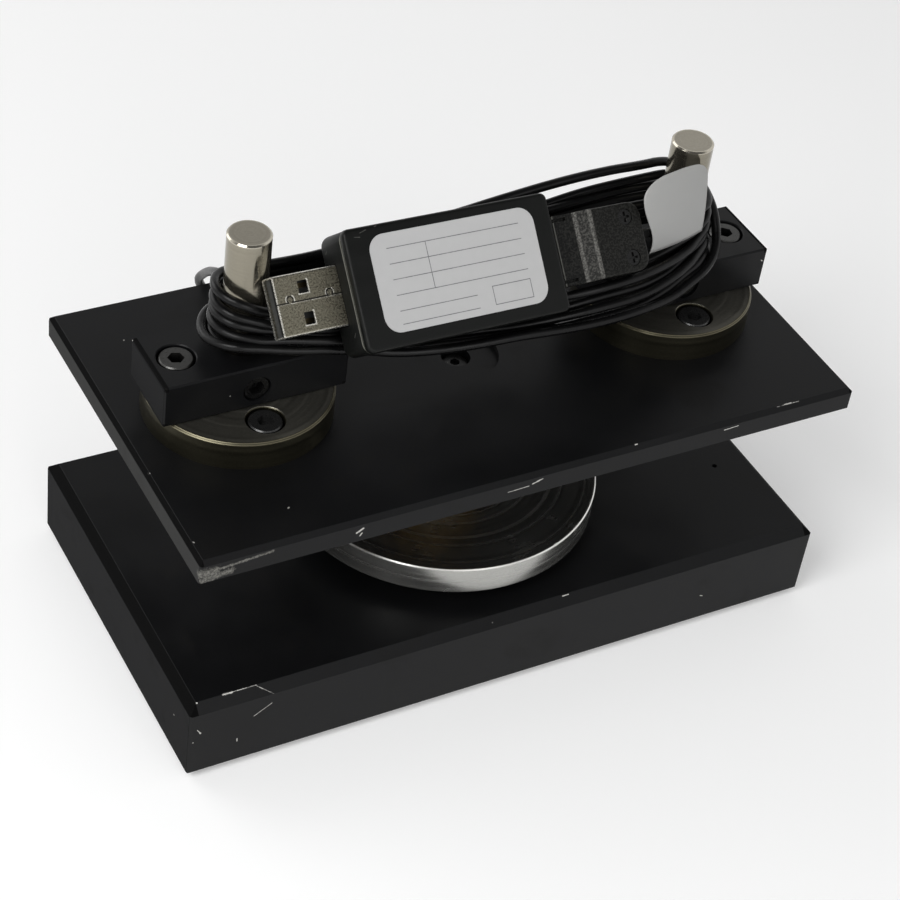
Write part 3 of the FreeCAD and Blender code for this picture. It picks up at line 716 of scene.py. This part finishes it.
def housing(name, corner, profile, material):
    """A profile of insets and heights carried round a rectangle with rounded corners: at an inset,
    each corner is an arc of the corner radius less the inset, and straight sides join the arcs."""
    per_corner = 12
    quarter = np.linspace(0.0, math.pi / 2, per_corner + 1)
    angle = (quarter[None, :] + np.arange(4)[:, None] * math.pi / 2).ravel()
    signs = np.repeat(np.array([(1, 1), (-1, 1), (-1, -1), (1, -1)]), per_corner + 1, axis=0)
    centres = np.array(MODULE_MIDDLE) + signs * (np.array(MODULE_HALF) - corner)
    inset, height = np.array(profile).T
    outward = np.stack([np.cos(angle), np.sin(angle)], axis=-1)
    flat = centres[None] + (corner - inset)[:, None, None] * outward[None]
    points = np.concatenate([flat, np.broadcast_to(height[:, None, None], flat.shape[:2] + (1,))],
                            axis=-1)
    points = np.array(MODULE_MOUTH) + points.reshape(-1, 3) @ lean.T
    return grid_piece(name, points, ring_faces(len(profile), len(angle)), material)


def arc(inset, height, radius, start, end, steps):
    """Stations of a rounded edge, round a middle, between two bearings in degrees."""
    bearings = np.radians(np.linspace(start, end, steps))
    return [(inset - radius * math.cos(b), height + radius * math.sin(b)) for b in bearings]


def moulded_group():
    """Moulded texture: fine even grain, with shallow flow marks drawn out along the part."""
    tree, (place, grain), out = start_group("moulded", "Place", "Grain", "Grain Flow")
    link(noise(place, grain), out["Grain"])
    link(noise(calc_vector("MULTIPLY", place, (0.25, 1.0, 1.0)), 0.22, 3.0, 0.6), out["Flow"])
    return tree


moulded = moulded_group()


def housing_plastic(name, lines):
    """Black plastic with a fine grain; handling has polished its edges and scratched its corner.
    Its groove and the slot round the plug are painted nearly black, a painted shade, and the
    groove's two edges at the near end carry painted highlights.
    """
    material, place, shader = start_finish(name, on_module, {"Specular IOR Level": 0.14})
    skin = place_group(moulded, place, 3.6)
    worn = place_group(box_wear, place, (*MODULE_MIDDLE, 0.05), (*MODULE_HALF, 6.0), 0.5,
                       0.7)["Wear"]
    dust = place_group(specks, place, 4.0, 0.16, 0.12)["Speck"]
    bare = marks(place, lines)
    along, up, out = parts_of(place)
    # The groove is painted nearly black, a painted shade.
    groove = times(fade(out, GROOVE_LOW - 0.02, GROOVE_LOW + 0.04),
                   fade(out, GROOVE_HIGH + 0.02, GROOVE_HIGH - 0.04))
    # The slot round the plug: a thin dark line painted in the end wall, a painted shade where the
    # plug goes in.
    beside = calc("SUBTRACT", away(up, PLUG_UP), PLUG_HALF_WIDTH)
    above = calc("SUBTRACT", away(out, PLUG_OUT), PLUG_HALF_HEIGHT)
    slot_painted_shade = times(fade(most(beside, above), 0.34, 0.20), fade(along, NEAR_END + 1.0, NEAR_END + 0.5))
    # The dark mask is the painted shade of the groove and the slot.
    dark = most(groove, slot_painted_shade)
    # The two edges of the groove carry painted highlights near the end.
    low_lip_highlight = fade(away(out, GROOVE_LOW - 0.12), 0.16, 0.06)
    high_lip_highlight = fade(away(out, GROOVE_HIGH + 0.12), 0.16, 0.06)
    lip_highlights = times(most(low_lip_highlight, high_lip_highlight), fade(along, NEAR_END + 3.0, NEAR_END + 1.0))

    tone = both(skin["Grain"], 0.6, skin["Flow"], 0.5)
    colour = lay_over(
        blend(tone, (0.0024, 0.0027, 0.0025), (0.0064, 0.0069, 0.0064)),
        (times(lip_highlights, 0.9), (0.15, 0.15, 0.13)),
        (times(worn, 0.30), (0.10, 0.10, 0.09)),
        (times(dust, 0.35), (0.25, 0.25, 0.24)),
        (times(bare, 0.6), (0.12, 0.12, 0.11)),
        (dark, (0.0015, 0.0015, 0.0015)))
    matt = fade(skin["Flow"], 0.3, 0.7, 0.34, 0.46)
    settle(shader, colour, most(matt, dark), calc("SUBTRACT", skin["Grain"], bare), 0.02)
    return material


HOUSING_MARKS = [
    ((17.6, 11.0, 6.05), (19.0, 11.4, 6.05), 0.16),
    ((16.2, 10.4, 6.05), (17.4, 10.2, 6.05), 0.14),
    ((18.4, 12.1, 5.6), (19.6, 12.2, 5.3), 0.18),
    ((21.0, 11.7, 6.0), (21.4, 11.8, 6.0), 0.22),
    ((14.0, -7.6, 2.0), (14.0, -8.4, 1.2), 0.18),
    ((14.0, 8.8, -3.2), (14.0, 9.3, -2.4), 0.16),
]
shell_black = housing_plastic("moulded_black_housing", HOUSING_MARKS)
tub_profile = arc(TUB_ROUND, TUB_BACK + TUB_ROUND, TUB_ROUND, -90.0, 0.0, 9)
tub_profile += [(inset, GROOVE_LOW - height) for inset, height in LIP]
tub_profile += [(GROOVE_DEPTH, GROOVE_LOW)]
tub = housing("module_tub", TUB_CORNER, tub_profile, shell_black)
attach(tub, "root")
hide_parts("module_rear_shell")
lid_profile = [(GROOVE_DEPTH, GROOVE_LOW - 0.1), (GROOVE_DEPTH, GROOVE_HIGH)]
lid_profile += [(inset, GROOVE_HIGH + height) for inset, height in reversed(LIP)]
lid_profile += arc(LID_ROUND, LID_FACE - LID_ROUND, LID_ROUND, 0.0, 90.0, 7)
lid = housing("module_lid", LID_CORNER, lid_profile, shell_black)
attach(lid, "root")
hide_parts("module_front_shell")


def board_mask():
    """Green solder mask with copper tracks faintly raised under it, and black moulded chips."""
    material, place, shader = start_finish("solder_mask", on_module, {"Coat Weight": 0.3})
    tracks = noise(calc_vector("MULTIPLY", place, (0.2, 1.6, 1.0)), 0.9, 1.0)
    track = fade(tracks, 0.50, 0.54)
    green = blend(track, (0.012, 0.085, 0.035), (0.03, 0.16, 0.07))
    chip = fade(parts_of(place)[2], -1.28, -1.22)
    settle(shader, blend(chip, green, (0.015, 0.015, 0.016)),
           fade(noise(place, 3.0), 0.3, 0.7, 0.3, 0.45), track, 0.03)
    return material


dress(board_mask(), "module_circuit_board")


# ---- module label ----
# A satin polyester label with rounded corners, stuck on the lid. It is printed as an empty form:
# thin grey rules and nothing between them.

RULE = 0.16


def between(value, low, high, soft):
    """1 where a number lies between two others, 0 outside them, with a soft change at each."""
    return times(fade(value, low - soft, low + soft), fade(value, high + soft, high - soft))


def label_film(name, pale, rules, place_on):
    """Satin white film: even colour with faint mottle, a soft sheen, and thin printed rules. A rule
    is a span along the label and a span up it; its ink is grey."""
    material, place, shader = start_finish(name, place_on,
                                           {"Specular IOR Level": 0.45, "Coat Weight": 0.08})
    mottle = noise(place, 0.5, 3.0, 0.6)
    fibre = noise(place, 5.0, 2.0, 0.6)
    dust = place_group(specks, place, 3.0, 0.10, 0.12)["Speck"]
    tone = both(fibre, 0.4, mottle, 0.6)
    colour = blend(tone, tuple(0.93 * c for c in pale), tuple(1.05 * c for c in pale))
    if rules:
        along, up, _ = parts_of(place)
        ink = most(*(times(between(along, *across, 0.04), between(up, *upwards, 0.04))
                     for across, upwards in rules))
        thin = fade(noise(place, 1.6, 3.0, 0.7), 0.2, 0.6, 0.55, 0.9)
        colour = blend(times(ink, thin), colour, (0.07, 0.07, 0.08))
    colour = blend(times(dust, 0.4), colour, (0.12, 0.12, 0.11))
    settle(shader, colour, fade(mottle, 0.3, 0.7, 0.36, 0.48),
           calc("MULTIPLY_ADD", mottle, 1.6, fibre), 0.012)
    return material


def level_rule(left, right, up):
    """A rule along the label."""
    return (left, right), (up, up + RULE)


def upright_rule(along, low, high):
    """A rule up the label, from the foot of one level rule to the head of another."""
    return (along, along + RULE), (low, high + RULE)


FORM_LEFT, FORM_RIGHT = 22.4, 52.6
BOX_LEFT, BOX_LOW, BOX_HIGH = 43.6, -8.0, -4.3
form = [level_rule(FORM_LEFT, FORM_RIGHT, up) for up in (7.0, 3.9, 0.8, -2.3)]
form += [level_rule(FORM_LEFT, 40.0, up) for up in (-5.4, BOX_LOW)]
form += [level_rule(BOX_LEFT, FORM_RIGHT, up) for up in (BOX_LOW, BOX_HIGH)]
form += [upright_rule(31.0, -2.3, 7.0), upright_rule(BOX_LEFT, BOX_LOW, BOX_HIGH),
         upright_rule(FORM_RIGHT - RULE, BOX_LOW, BOX_HIGH)]
dress(label_film("satin_label_film", (0.46, 0.46, 0.46), form, on_module), "module_label")


# ---- USB plug ----
# The plug is a skin of thin steel, blasted and nickel plated, folded round until two keyed tabs
# lock along its seam. It has two latch windows in each broad side and a plastic tongue within.

SEAM_UP = 0.8
SEAM_KEYS = (2.9, 11.5)
KEY_RADIUS, KEY_RISE = 0.66, 0.55
WINDOW_MIDDLES = (-2.8, 3.4)
WINDOW_ALONG = 6.15
WINDOW_HALF_LENGTH, WINDOW_HALF_WIDTH = 1.05, 1.25


def seam_line(place, cloud):
    """The seam is a thin dark line that runs along the plug and round each key, drawn from the
    distance to a straight line and to two circles. Glints are the bright line beside it."""
    along, up, _ = parts_of(place)
    over_seam = fade(up, SEAM_UP, SEAM_UP + 0.1)
    flat = calc_vector("MULTIPLY", place, LEVEL)
    seam = fade(away(up, SEAM_UP), 0.16, 0.08)
    glints = times(fade(away(up, SEAM_UP - 0.24), 0.12, 0.04), fade(cloud, 0.4, 0.6, 0.2, 0.7))
    for key in SEAM_KEYS:
        from_key = calc_vector("DISTANCE", flat, (key, SEAM_UP + KEY_RISE, 0.0))
        bulb = times(fade(away(from_key, KEY_RADIUS), 0.17, 0.08), over_seam)
        rim = times(fade(away(from_key, KEY_RADIUS + 0.26), 0.16, 0.05),
                    fade(away(along, key), 0.35, 0.6), over_seam)
        glints = most(rim, glints)
        neck = fade(away(along, key), 0.26, 0.34)
        seam = most(times(seam, neck), bulb)
    return seam, glints


def window_lines(along, up):
    """Faint draw lines from the windows towards the mouth, and painted highlights on the windows'
    edges.
    """
    lines, lip_highlights = 0.0, 0.0
    for middle in WINDOW_MIDDLES:
        drawn = times(fade(away(up, middle - 0.5), 0.10, 0.03), fade(along, 5.0, 2.6, 0.6, 0.0))
        lines = most(drawn, lines)
        beside = calc("SUBTRACT", away(up, middle), WINDOW_HALF_WIDTH)
        before = calc("SUBTRACT", away(along, WINDOW_ALONG), WINDOW_HALF_LENGTH)
        lip = fade(calc("ABSOLUTE", most(beside, before)), 0.30, 0.12)
        side = most(fade(along, 6.9, 7.1), fade(up, middle - 1.05, middle - 1.2))
        lip_highlights = most(times(lip, side), lip_highlights)
    return lines, lip_highlights


def plug_plating():
    """Blasted nickel plate in module axes, a little glossier at the folds and at the mouth, where
    painted highlights also lighten it, and painted darker on the inside, a painted shade."""
    material, place, shader = start_finish("blasted_nickel_plate", on_module, {"Metallic": 0.92})
    along, up, out = parts_of(place)
    blast = fade(noise(place, 2.6, 3.0, 0.7), 0.30, 0.70)
    cloud = noise(place, 0.45, 3.0, 0.6)
    seam, glints = seam_line(place, cloud)
    seam = times(seam, fade(out, -0.5, -0.3))
    lines, lip_highlights = window_lines(along, up)
    across = away(up, PLUG_UP)
    fold = fade(across, 5.62, 5.95)
    mouth = fade(along, 0.35, 0.08)
    # Folds, mouth, window edges and seam glints are painted highlights.
    bright = most(fold, mouth, lip_highlights, glints)
    # The shell's inner faces are painted darker, a painted shade.
    inside = times(between(out, -4.19, -0.31, 0.03), fade(across, 5.72, 5.66))
    dark = most(seam, times(lines, 0.5))

    colour = lay_over(
        blend(blast, (0.105, 0.091, 0.064), (0.235, 0.215, 0.165)),
        (times(cloud, 0.4), (0.16, 0.17, 0.135)),
        (times(bright, 0.9), (0.78, 0.76, 0.69)),
        (times(inside, 0.8), (0.08, 0.08, 0.075)),
        (dark, (0.02, 0.02, 0.018)))
    matt = calc("SUBTRACT", blast, times(bright, 0.4))
    settle(shader, colour, fade(matt, 0.0, 0.7, 0.18, 0.42),
           calc("SUBTRACT", blast, times(dark, 2.5)), 0.02)
    return material


def dark_plastic(name, dark, light, place_on, rough=(0.35, 0.5)):
    """Moulded plastic of one colour, with its grain and flow marks."""
    material, place, shader = start_finish(name, place_on, {"Specular IOR Level": 0.25})
    skin = place_group(moulded, place, 4.0)
    tone = both(skin["Grain"], 0.5, skin["Flow"], 0.5)
    settle(shader, blend(tone, dark, light), fade(skin["Flow"], 0.3, 0.7, *rough), skin["Grain"],
           0.02)
    return material


def contact_gold():
    """Thin gold flash on the contact strips, wiped dull along the middle where plugs rub. Its
    colour is painted very dark, a painted shade inside the plug.
    """
    material, place, shader = start_finish("gold_flash", on_module, {"Metallic": 1.0})
    wiped = noise(calc_vector("MULTIPLY", place, (0.2, 2.0, 1.0)), 2.0, 3.0, 0.7)
    # These dark golds are a painted shade.
    link(blend(wiped, (0.035, 0.028, 0.016), (0.10, 0.08, 0.045)), shader["Base Color"])
    link(fade(wiped, 0.3, 0.7, 0.3, 0.5), shader["Roughness"])
    return material


dress(plug_plating(), "usb_plug_skin")
dress(dark_plastic("plug_tongue_plastic", (0.018, 0.019, 0.019), (0.034, 0.035, 0.034), on_module),
      "usb_plug_tongue")
dress(contact_gold(), "usb_plug_contacts")


# ---- sensor connector ----
# The cable's end plugs into the module. Two hoods of coarser black plastic, thin in front and
# thicker behind a short slope, are held together by two small cross-head screws.

SLOPE_START, SLOPE_END = 67.7, 70.6
HOOD_MIDDLE = (72.6, 0.0, 0.0)
HOOD_HALF = (10.2, 7.25, 4.5)


def hood_plastic():
    """Speckled plastic: pale grains in black. The slope is rubbed to a speckled band, with lighter
    stripes at its two edges that are wear and painted highlights. The front edge carries a painted
    highlight, and the thick rear is browner than the front."""
    material, place, shader = start_finish("speckled_hood_plastic", on_module,
                                           {"Specular IOR Level": 0.14})
    along = parts_of(place)[0]
    skin = place_group(moulded, place, 5.0)
    grain = fade(noise(place, 2.4, 2.0, 0.6), 0.44, 0.62)
    coarse = fade(noise(place, 2.6, 2.0, 0.6), 0.42, 0.60, 0.3, 1.0)
    worn = place_group(box_wear, place, HOOD_MIDDLE, HOOD_HALF, 0.34, 0.5)["Wear"]
    front = HOOD_MIDDLE[0] - HOOD_HALF[0]
    # The front edge is painted lighter, a painted highlight.
    front_edge_highlight = fade(along, front + 0.35, front + 0.1)
    # The stripes at the slope's edges are wear and painted highlights.
    slope_edge_wear_and_highlights = most(*(fade(away(along, where), 0.60, 0.25)
                   for where in (SLOPE_START, SLOPE_END + 0.1)))
    on_slope = times(fade(along, SLOPE_START, SLOPE_START + 0.4),
                     fade(along, SLOPE_END + 0.2, SLOPE_END),
                     calc("MULTIPLY_ADD", grain, 0.75, 0.2))
    rear = fade(along, SLOPE_END, SLOPE_END + 0.6)

    black = blend(rear, (0.0030, 0.0032, 0.0030), (0.0040, 0.0040, 0.0034))
    colour = lay_over(
        blend(times(grain, 0.8), black, (0.019, 0.019, 0.017)),
        (on_slope, (0.060, 0.059, 0.054)),
        (times(slope_edge_wear_and_highlights, coarse), (0.135, 0.132, 0.122)),
        (times(most(worn, front_edge_highlight), 0.8), (0.16, 0.16, 0.145)))
    settle(shader, colour, fade(skin["Grain"], 0.3, 0.7, 0.36, 0.5), grain, 0.03)
    return material


dress(hood_plastic(), "connector_upper_hood", "connector_lower_hood")
dress(dark_plastic("socket_plastic", (0.008, 0.008, 0.008), (0.016, 0.016, 0.016), on_module),
      "sensor_socket", "connector_insert")
dress(screw_black("black_oxide_hood_screws", 0.7), "connector_screws")


# ---- sensor cable ----
# Four cores in a braid under a smooth dark jacket, 2 mm across and 1.73 m long. It comes up from
# the back of the load cell and is wound six and a half times round the two posts, each turn pushed
# against the next, with the last turns laid loosely over the others.

CABLE_DIA = 2.0


def round_post(x, *stations):
    """Points round a post, each from its bearing in degrees from +X, its radius and its height."""
    return [(x + r * math.cos(math.radians(b)), r * math.sin(math.radians(b)), z)
            for b, r, z in stations]


cable_points = [
    # from the load cell to the winding
    (-6.2, 6.3, 42.975), (-6.2, 20, 42.975), (-14, 33, 44.2), (-26, 42, 46.8), (-36, 47, 51.2),
    (-39.6, 46.8, 57), (-39.6, 42, 62.4), (-41.4, 36, 67.4), (-43.4, 27.5, 73.6), (-44, 17, 79),
    (-37, 9.6, 80.2),
    # turn 1
    (-24, 7.2, 79.8), (-8, 6.8, 79.6), (12, 6.6, 79.8), (32, 6.4, 81.1),
    *round_post(POST_X, (90, 6.6, 80.7), (45, 6.9, 79.9), (0, 7.2, 79.3), (-45, 8.2, 79)),
    (51.5, -9.5, 79), (47.4, -10.8, 78.5), (41.6, -13.1, 77.1), (33, -15.8, 76.8),
    (22.8, -16.4, 76.9), (12.6, -16.5, 76.9), (3, -16.2, 77.5), (-6, -15.6, 78.2),
    (-14.5, -14.2, 78.2), (-20, -13.2, 78.1), (-26, -11.6, 79), (-37, -10, 81), (-45.5, -8, 81),
    *round_post(-POST_X, (-95, 6.8, 81.2), (-140, 6.9, 81.4), (-185, 6.9, 81.4), (-230, 6.9, 81.3),
                (-270, 6.6, 81.4)),
    # turn 2
    (-38, 6.6, 81.8), (-20, 6.8, 81.8), (0, 6.6, 81.6), (20, 6.8, 82.2), (38, 6.2, 83.4),
    *round_post(POST_X, (90, 6.2, 83.1), (45, 6.5, 82.5), (0, 6.6, 81.7), (-45, 7.4, 81)),
    (51.4, -8.6, 80.9), (48.4, -10.6, 80.7), (42, -13.4, 79.9), (33.4, -15.8, 79.4),
    (22.6, -16.6, 79.8), (12.8, -15.7, 78.9), (7.5, -14.6, 78), (2, -13.8, 77.7),
    (-12, -12.2, 78.4), (-19, -11.6, 80.4), (-26, -11.8, 81.1), (-37, -12, 83.4),
    (-45.5, -9.2, 83.9),
    *round_post(-POST_X, (-92, 7.7, 83.9), (-140, 6.9, 84.3), (-185, 6.9, 84.4), (-230, 6.9, 84.4),
                (-270, 6.5, 84.4)),
    # turn 3
    (-38, 6, 84), (-20, 6.2, 83.8), (0, 6.8, 83.9), (20, 6.2, 84.6), (38, 6, 85.8),
    *round_post(POST_X, (90, 6, 85.5), (45, 6.3, 84.9), (0, 6.5, 83.9), (-45, 6.8, 82.6)),
    (51, -7.3, 82.1), (47.8, -8.6, 81.4), (42.6, -11.2, 79.9), (34, -13.6, 80.2),
    (23.2, -14.5, 80.9), (13, -13.7, 79.3), (1, -11.6, 79.3), (-12, -11.8, 80.6), (-26, -10.6, 83),
    (-37, -10, 83), (-45.6, -7.2, 84.6),
    *round_post(-POST_X, (-92, 6.3, 85.9), (-140, 6.5, 86.9), (-185, 6.6, 87), (-230, 6.6, 87),
                (-270, 6.3, 87)),
    # turn 4
    (-38, 6.2, 86.4), (-20, 6.6, 86.3), (0, 6, 86.3), (20, 6.6, 87), (38, 6.2, 88.2),
    *round_post(POST_X, (90, 6, 87.9), (45, 6.3, 87.2), (0, 6.5, 86.1), (-45, 6.8, 84.9)),
    (50.6, -7.9, 84.1), (48.2, -9.5, 83.6), (42, -12, 83.4), (32.5, -15, 84), (22.4, -15.7, 84.2),
    (16.2, -13.8, 82.4), (10, -10, 80.8), (0, -9.8, 80.9), (-12, -10, 82), (-26, -8.9, 84.2),
    (-37, -10.5, 85.1), (-45.4, -8.2, 86.2),
    *round_post(-POST_X, (-92, 6.4, 87.6), (-140, 6.5, 88.9), (-185, 6.6, 89.2), (-230, 6.6, 89.3),
                (-270, 6.3, 89.4)),
    # turn 5
    (-42, 6.1, 88.9), (-34, 6.2, 88.6), (-18, 6.4, 88.4), (0, 6.4, 88.6), (20, 6, 89.2),
    (38, 6.4, 90.4),
    *round_post(POST_X, (90, 6, 90.2), (45, 6.3, 89.4), (0, 6.4, 88.3), (-45, 6.6, 87.3)),
    (50.2, -7.1, 86), (46.8, -8, 85.4), (41, -9.2, 83.8), (32, -9.6, 82.2), (22, -9.4, 82.6),
    (12, -8.2, 83.2), (0, -7.8, 82.8), (-12, -8.4, 83.8), (-26, -7.1, 85.6), (-37, -8.2, 86.4),
    (-44, -6.6, 87.8),
    *round_post(-POST_X, (-68, 6.3, 89), (-90, 6.4, 90.4), (-118, 6.5, 92), (-150, 6.5, 92.6),
                (-185, 6.6, 92.9), (-230, 6.6, 92.4), (-270, 6.3, 91.6)),
    # turn 6, raised at the back and dropping outside the others at the right post
    (-43, 6, 91), (-38, 6, 90.8), (-34, 5.8, 90.9), (-26, 5.6, 91.4), (-12, 5.6, 92.9),
    (0, 5.5, 94.3), (8, 5.4, 95.4), (22, 5.4, 96.8), (34, 5.6, 97), (43, 6, 96.2),
    *round_post(POST_X, (100, 7.2, 95.4), (60, 8.1, 93.2), (25, 8.5, 89.8), (-5, 8.8, 86),
                (-30, 9.2, 82.4), (-52, 10, 79.8)),
    (53, -10.9, 78.3), (48, -12.8, 77.2), (41, -15.7, 76.5), (32, -17.9, 77.4), (22, -18.4, 77.4),
    (12, -18.4, 78), (2.6, -18.2, 78.9), (-6.4, -17.6, 78.7), (-14.8, -16.3, 78.5),
    (-23, -14.5, 78.6), (-29, -12.9, 79.6), (-37, -12, 81.3), (-44, -10.8, 82),
    *round_post(-POST_X, (-85, 8.8, 82.5), (-115, 8.7, 83.2), (-145, 8.8, 82.9), (-180, 8.9, 81.8),
                (-225, 8.9, 81.8), (-265, 8.8, 82.2)),
    # the last half turn, rising over the others at the back
    (-36, 8.8, 82.6), (-18, 8.8, 83.2), (-2, 8.5, 84.8), (12, 8.3, 87.4), (20, 8, 89.2),
    (27, 7.6, 90.6), (32, 7, 91.6), (38, 6.4, 92.3), (44, 6, 92.7),
    *round_post(POST_X, (95, 5.9, 92.8), (50, 6, 91.8), (5, 6, 91.2), (-45, 6.1, 91),
                (-80, 6.2, 91)),
    (47, -7.2, 91), (42.6, -8.4, 90.7), (38, -9, 90.4), (34.8, -9.15, 90.5), (32.9, -9.2, 90.6),
]


def cord_curve(name, points, dia):
    """One NURBS spline with a round section."""
    curve = bpy.data.curves.new(name, "CURVE")
    curve.dimensions = "3D"
    spline = curve.splines.new("NURBS")
    spline.points.add(len(points) - 1)
    for point, co in zip(spline.points, points):
        point.co = (co[0] * MM, co[1] * MM, co[2] * MM, 1)
    spline.order_u = 3
    spline.use_endpoint_u = True
    spline.resolution_u = 6
    curve.bevel_depth = dia / 2 * MM
    curve.bevel_resolution = 3
    curve.use_fill_caps = True
    return place_object(name, curve)


def jacket():
    """Smooth black PVC: a soft gloss, slight waves from the cores beneath, and a little dust."""
    material, place, shader = start_finish("cable_jacket", on_object, {"Specular IOR Level": 0.20})
    waves = noise(place, 0.5, 2.0)
    film = noise(place, 0.12, 3.0, 0.6)
    dust = place_group(specks, place, 2.6, 0.14, 0.10)["Speck"]
    colour = blend(film, (0.0018, 0.0018, 0.0019), (0.0050, 0.0050, 0.0052))
    settle(shader, blend(times(dust, 0.35), colour, (0.2, 0.2, 0.2)),
           fade(film, 0.3, 0.7, 0.26, 0.38), waves, 0.06)
    return material


jacket_black = jacket()
cable = cord_curve("sensor_cable", cable_points, CABLE_DIA)
cable.data.materials.append(jacket_black)
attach(cable, "root")
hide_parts("sensor_cable_lead", "sensor_cable_hank", "sensor_cable_tail")


# ---- strain reliefs ----
# A short ribbed sleeve of black rubber holds the cable where it leaves the load cell's gland, and a
# smooth boot holds it where it enters the connector.

SLEEVE_LENGTH, SLEEVE_HIDDEN = 9.0, 0.6
RIB_HEIGHT, RIB_PITCH = 0.13, 1.6
RIBS_FROM, RIBS_TO = 0.4, 8.4
BOOT_LENGTH = 3.6
SLEEVE_END_RADIUS = 0.97   # just inside the cable's own surface


def cable_line():
    """The cable's own middle line, read from its spline without its round section."""
    bare_curve = cable.data.copy()
    bare_curve.bevel_depth = 0.0
    bare_curve.resolution_u = 12
    carrier = bpy.data.objects.new("middle_line", bare_curve)
    line = bpy.data.meshes.new_from_object(carrier)
    points = np.array([v.co for v in line.vertices]) / MM
    bpy.data.objects.remove(carrier)
    bpy.data.meshes.remove(line)
    bpy.data.curves.remove(bare_curve)
    return points


def sleeve(name, stations, radii, material, around=36):
    """Circles of the given radii carried along the cable's line, each square to it, at stations in
    millimetres from its start."""
    line = cable_line()
    steps = np.linalg.norm(np.diff(line, axis=0), axis=1)
    run = np.concatenate([[0.0], np.cumsum(steps)])
    at = np.where(stations < 0, run[-1] + stations, stations)
    behind, middle, ahead = (np.stack([np.interp(at + step, run, line[:, axis])
                                       for axis in range(3)], axis=-1) for step in (-0.2, 0.0, 0.2))
    heading = ahead - behind
    heading /= np.linalg.norm(heading, axis=1, keepdims=True)
    across = np.cross(heading, (0.0, 0.0, 1.0))
    across /= np.linalg.norm(across, axis=1, keepdims=True)
    rise = np.cross(across, heading)
    turn = np.linspace(0.0, 2 * math.pi, around, endpoint=False)[None, :, None]
    spokes = np.cos(turn) * across[:, None] + np.sin(turn) * rise[:, None]
    points = middle[:, None] + np.asarray(radii)[:, None, None] * spokes
    piece = grid_piece(name, points.reshape(-1, 3),
                       [face[::-1] for face in ring_faces(len(at), around)], material)
    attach(piece, "root")
    return piece


relief_rubber = dark_plastic("strain_relief_rubber", (0.007, 0.007, 0.007), (0.014, 0.014, 0.014),
                             on_object, (0.42, 0.58))
along = np.linspace(-SLEEVE_HIDDEN, SLEEVE_LENGTH, 49)
has_ribs = (along > RIBS_FROM) * (along < RIBS_TO)
ribbed = 1.72 - 0.060 * along + RIB_HEIGHT * np.cos(along * 2 * math.pi / RIB_PITCH) * has_ribs
ribbed[-1] = SLEEVE_END_RADIUS
sleeve("gland_strain_relief", np.clip(along, 0.01, None), ribbed, relief_rubber)
along = np.linspace(-BOOT_LENGTH, -0.02, 22)
smooth_boot = 1.16 + 0.62 * ((along + BOOT_LENGTH) / BOOT_LENGTH) ** 1.6
smooth_boot[0] = SLEEVE_END_RADIUS
sleeve("connector_boot", along, smooth_boot, relief_rubber)


# ---- flag label ----
# A blank sticker folded round the front turns by its foot. It stands up beside the right post,
# bends back as it rises, and its left edge curls forward.

FLAG_THICKNESS = 0.22
FLAG_ROUND = 0.19
FLAG_BOW = np.array([
    [(35.9, -12.0, 87.5), (41.0, -11.3, 87.5), (46.2, -10.2, 87.5), (51.0, -8.7, 87.5)],
    [(35.4, -12.0, 93.0), (40.9, -11.2, 93.0), (46.3, -9.8, 93.0), (51.1, -8.1, 93.0)],
    [(33.2, -11.3, 98.4), (39.6, -10.3, 98.8), (46.2, -8.6, 98.6), (51.3, -6.8, 98.0)],
    [(33.6, -9.6, 104.2), (40.3, -8.7, 104.8), (46.0, -7.2, 104.2), (51.0, -5.8, 102.6)],
])


def flag_sheet(material, size=40):
    """A sheet through a four by four net of points: at height share a and width share b, each point
    is weighted by the cubic that is 1 at its own share and 0 at the other three, in both
    directions. Near the top the width share is drawn in along a quarter circle at each side."""
    own = np.linspace(0.0, 1.0, 4)

    def weights(share):
        others = [np.delete(own, k) for k in range(4)]
        return np.stack([np.prod([(share - o) / (own[k] - o) for o in others[k]], axis=0)
                         for k in range(4)], axis=-1)

    a = np.linspace(0.0, 1.0, size) ** 0.8
    drawn_in = FLAG_ROUND - np.sqrt(np.clip(FLAG_ROUND ** 2
                                            - np.clip(a - 1 + FLAG_ROUND, 0, None) ** 2, 0, None))
    b = drawn_in[:, None] + (1 - 2 * drawn_in[:, None]) * np.linspace(0.0, 1.0, size)[None]
    points = np.einsum("ai,abj,ijk->abk", weights(a), weights(b), FLAG_BOW)
    j, i = np.meshgrid(np.arange(size - 1), np.arange(size - 1), indexing="ij")
    corner = j * size + i
    faces = np.stack([corner, corner + 1, corner + size + 1, corner + size],
                     axis=-1).reshape(-1, 4).tolist()
    piece = grid_piece("flag_sheet", points.reshape(-1, 3), faces, material)
    wall = piece.modifiers.new("thickness", "SOLIDIFY")
    wall.thickness = FLAG_THICKNESS * MM
    wall.offset = 1.0
    return piece


flag = flag_sheet(label_film("flag_label_film", (0.36, 0.36, 0.352), [], on_object))
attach(flag, "root")
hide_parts("flag_label")
